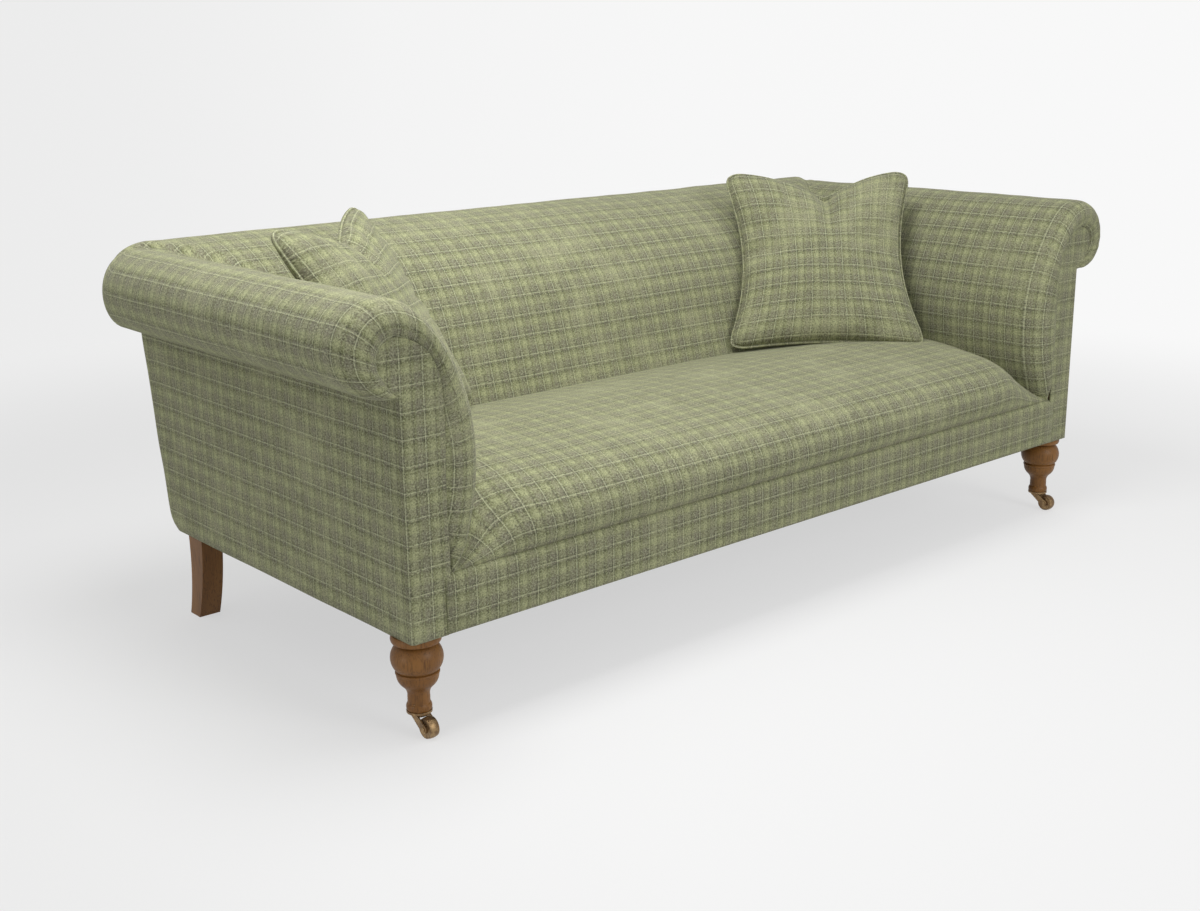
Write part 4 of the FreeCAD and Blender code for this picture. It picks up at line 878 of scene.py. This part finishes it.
def build_cushion(side):
    count = 56
    turn = cushion_turn(side)
    spot = CUSHION_SPOT[side]
    seed = 20 if side == "right" else 31

    def placed(x, y, z):
        return turn @ Vector((x, y, z)) + Vector((spot[0], spot[1] + FRONT, spot[2]))

    def puff(a, b, face):
        rim = (1 - a * a) * (1 - b * b)
        height = CUSHION_PUFF * (1.0 if face < 0 else 0.62) * rim ** 0.40
        x, z = cushion_outline(a, b)
        height += softness((x, face * 0.3, z), seed, 0.006, 0.09) * smooth(rim * 6)
        height += cushion_folds(a, b, face, seed) * smooth(rim * 9) * (1.0 if face < 0 else 0.5)
        return x, face * max(height, 0.0), z

    points, faces, uvs, index_of = [], [], [], {}
    for face in (-1, 1):
        for j in range(count + 1):
            for i in range(count + 1):
                rim = i in (0, count) or j in (0, count)
                key = (0 if rim else face, i, j)
                if key in index_of:
                    continue
                a = math.sin((i / count * 2 - 1) * math.pi / 2)
                b = math.sin((j / count * 2 - 1) * math.pi / 2)
                index_of[key] = len(points)
                points.append(placed(*puff(a, b, face)))
    flat = [math.sin((k / count * 2 - 1) * math.pi / 2) * CUSHION_HALF for k in range(count + 1)]
    for face in (-1, 1):
        for j in range(count):
            for i in range(count):
                corners = [(i, j), (i + 1, j), (i + 1, j + 1), (i, j + 1)]
                if face > 0:
                    corners.reverse()
                ids, loop = [], []
                for ci, cj in corners:
                    rim = ci in (0, count) or cj in (0, count)
                    ids.append(index_of[(0 if rim else face, ci, cj)])
                    loop.append((flat[ci], flat[cj]))
                faces.append(tuple(ids))
                uvs.append(loop)
    cover = mesh_piece("cushion_" + side + "_cloth", points, faces, uvs, PLAID, "cushion_" + side,
                       ("cushion_cover_" + side, "cushion_insert_" + side))
    ring = []
    for edge in range(4):
        for k in range(count):
            s = math.sin((k / count * 2 - 1) * math.pi / 2)
            a, b = ((s, -1), (1, s), (-s, 1), (-1, -s))[edge]
            x, z = cushion_outline(a, b)
            reach = 1 + 0.003 / math.hypot(x, z)
            ring.append(placed(x * reach, 0.0, z * reach))
    cord = cord_loop("cushion_piping_" + side + "_cord", ring, PIPING_R, PLAID, "cushion_" + side,
                     ("cushion_piping_" + side,))


for side, mirrored in (("right", False), ("left", True)):
    build_arm_cover(side, mirrored)
    build_facing(side, mirrored)
    build_side_panel(side, mirrored)
    build_cushion(side)
build_back_cover()
build_outside_back()
build_border()
build_seat()


# Floor, light and camera

EYE = (-2.258, -2.423, 1.139)
EYE_RIGHT = (0.7499, -0.6614, -0.01288)
EYE_UP = (0.18449, 0.19039, 0.96418)
EYE_AHEAD = (0.6353, 0.7254, -0.2648)
BACKDROP = ((0.0, (0.84, 0.84, 0.84)), (0.25, (0.90, 0.90, 0.90)),
            (0.6, (0.93, 0.93, 0.93)), (1.0, (0.94, 0.94, 0.94)))
FLOOR_HALF = 60.0


def backdrop(f, heading):
    """The backdrop's colour along a line of sight: a little darker on the left."""
    across = f.node("ShaderNodeVectorMath", {"operation": "DOT_PRODUCT"}, {0: heading, 1: EYE_RIGHT})("Value")
    ahead = f.node("ShaderNodeVectorMath", {"operation": "DOT_PRODUCT"}, {0: heading, 1: EYE_AHEAD})("Value")
    share = f.ramp(across / ahead.sum("MAXIMUM", 0.01), -0.42, 0.42)
    return f.node("ShaderNodeValToRGB", {"stops": BACKDROP}, {"Fac": share})("Color")


def build_floor():
    """A pale floor that takes the sofa's shadow and fades into the backdrop far away."""
    f = Finish("pale floor")
    path = f.node("ShaderNodeLightPath")
    seen = path("Is Camera Ray").sum("MAXIMUM", path("Is Glossy Ray"))
    seen = seen.sum("MAXIMUM", path("Is Transmission Ray"))
    card = f.node("ShaderNodeBsdfDiffuse", {}, {"Color": (0.28, 0.28, 0.28)})("BSDF")
    heading = f.node("ShaderNodeVectorMath", {"operation": "SUBTRACT"}, {0: f.place(), 1: EYE})("Vector")
    colour = backdrop(f, heading)
    glow = f.node("ShaderNodeEmission", {}, {"Color": colour, "Strength": 0.635})("Emission")
    far = f.node("ShaderNodeEmission", {}, {"Color": colour, "Strength": 1.0})("Emission")
    both = f.node("ShaderNodeAddShader", {}, {0: card, 1: glow})("Shader")
    reach = f.node("ShaderNodeVectorMath", {"operation": "LENGTH"}, {0: f.place()})("Value")
    near = f.node("ShaderNodeMixShader", {}, {
        0: f.ramp(reach, 1.6, 3.4), 1: both, 2: far})("Shader")
    plain = f.node("ShaderNodeBsdfDiffuse", {}, {"Color": (0.55, 0.55, 0.55)})("BSDF")
    shown = f.node("ShaderNodeMixShader", {}, {0: seen, 1: plain, 2: near})("Shader")
    f.node("ShaderNodeOutputMaterial", {}, {"Surface": shown})
    data = bpy.data.meshes.new("floor")
    corners = [(-FLOOR_HALF, -FLOOR_HALF, 0), (FLOOR_HALF, -FLOOR_HALF, 0),
               (FLOOR_HALF, FLOOR_HALF, 0), (-FLOOR_HALF, FLOOR_HALF, 0)]
    data.from_pydata(corners, [], [(0, 1, 2, 3)])
    data.materials.append(f.material)
    floor = bpy.data.objects.new("floor", data)
    bpy.context.scene.collection.objects.link(floor)


def build_world():
    f = Finish("studio", bpy.data.worlds)
    path = f.node("ShaderNodeLightPath")
    dim = f.node("ShaderNodeBackground", {}, {"Color": (1.0, 1.0, 1.0), "Strength": 0.56})("Background")
    colour = backdrop(f, f.node("ShaderNodeTexCoord")("Generated"))
    seen = f.node("ShaderNodeBackground", {}, {"Color": colour, "Strength": 1.0})("Background")
    shown = f.node("ShaderNodeMixShader", {}, {0: path("Is Camera Ray"), 1: dim, 2: seen})("Shader")
    f.node("ShaderNodeOutputWorld", {}, {"Surface": shown})
    bpy.context.scene.world = f.material


def area_light(name, spot, aim, size, power):
    data = bpy.data.lights.new(name, "AREA")
    data.shape = "DISK"
    data.size = size
    data.energy = power
    lamp = bpy.data.objects.new(name, data)
    lamp.location = spot
    lamp.rotation_euler = (Vector(aim) - Vector(spot)).to_track_quat("-Z", "Y").to_euler()
    lamp.visible_camera = False
    bpy.context.scene.collection.objects.link(lamp)


def build_camera():
    right, up, ahead = Vector(EYE_RIGHT), Vector(EYE_UP), Vector(EYE_AHEAD)
    data = bpy.data.cameras.new("camera")
    data.sensor_fit = "HORIZONTAL"
    data.sensor_width = 36.0
    data.lens = 44.867
    camera = bpy.data.objects.new("camera", data)
    turn = Matrix((right, up, -ahead)).transposed().to_4x4()
    camera.matrix_world = Matrix.Translation(EYE) @ turn
    bpy.context.scene.collection.objects.link(camera)
    bpy.context.scene.camera = camera


build_floor()
build_world()
area_light("top light", (-0.7, -0.3, 2.4), (-0.7, 0.0, 0.6), 1.2, 36)
area_light("front light", (0.6, -5.0, 2.5), (0.0, 0.0, 0.4), 2.4, 70)
area_light("side light", (-4.2, -0.3, 0.55), (-0.9, 0.0, 0.3), 0.9, 11)
build_camera()
bpy.context.scene.view_settings.view_transform = "Standard"
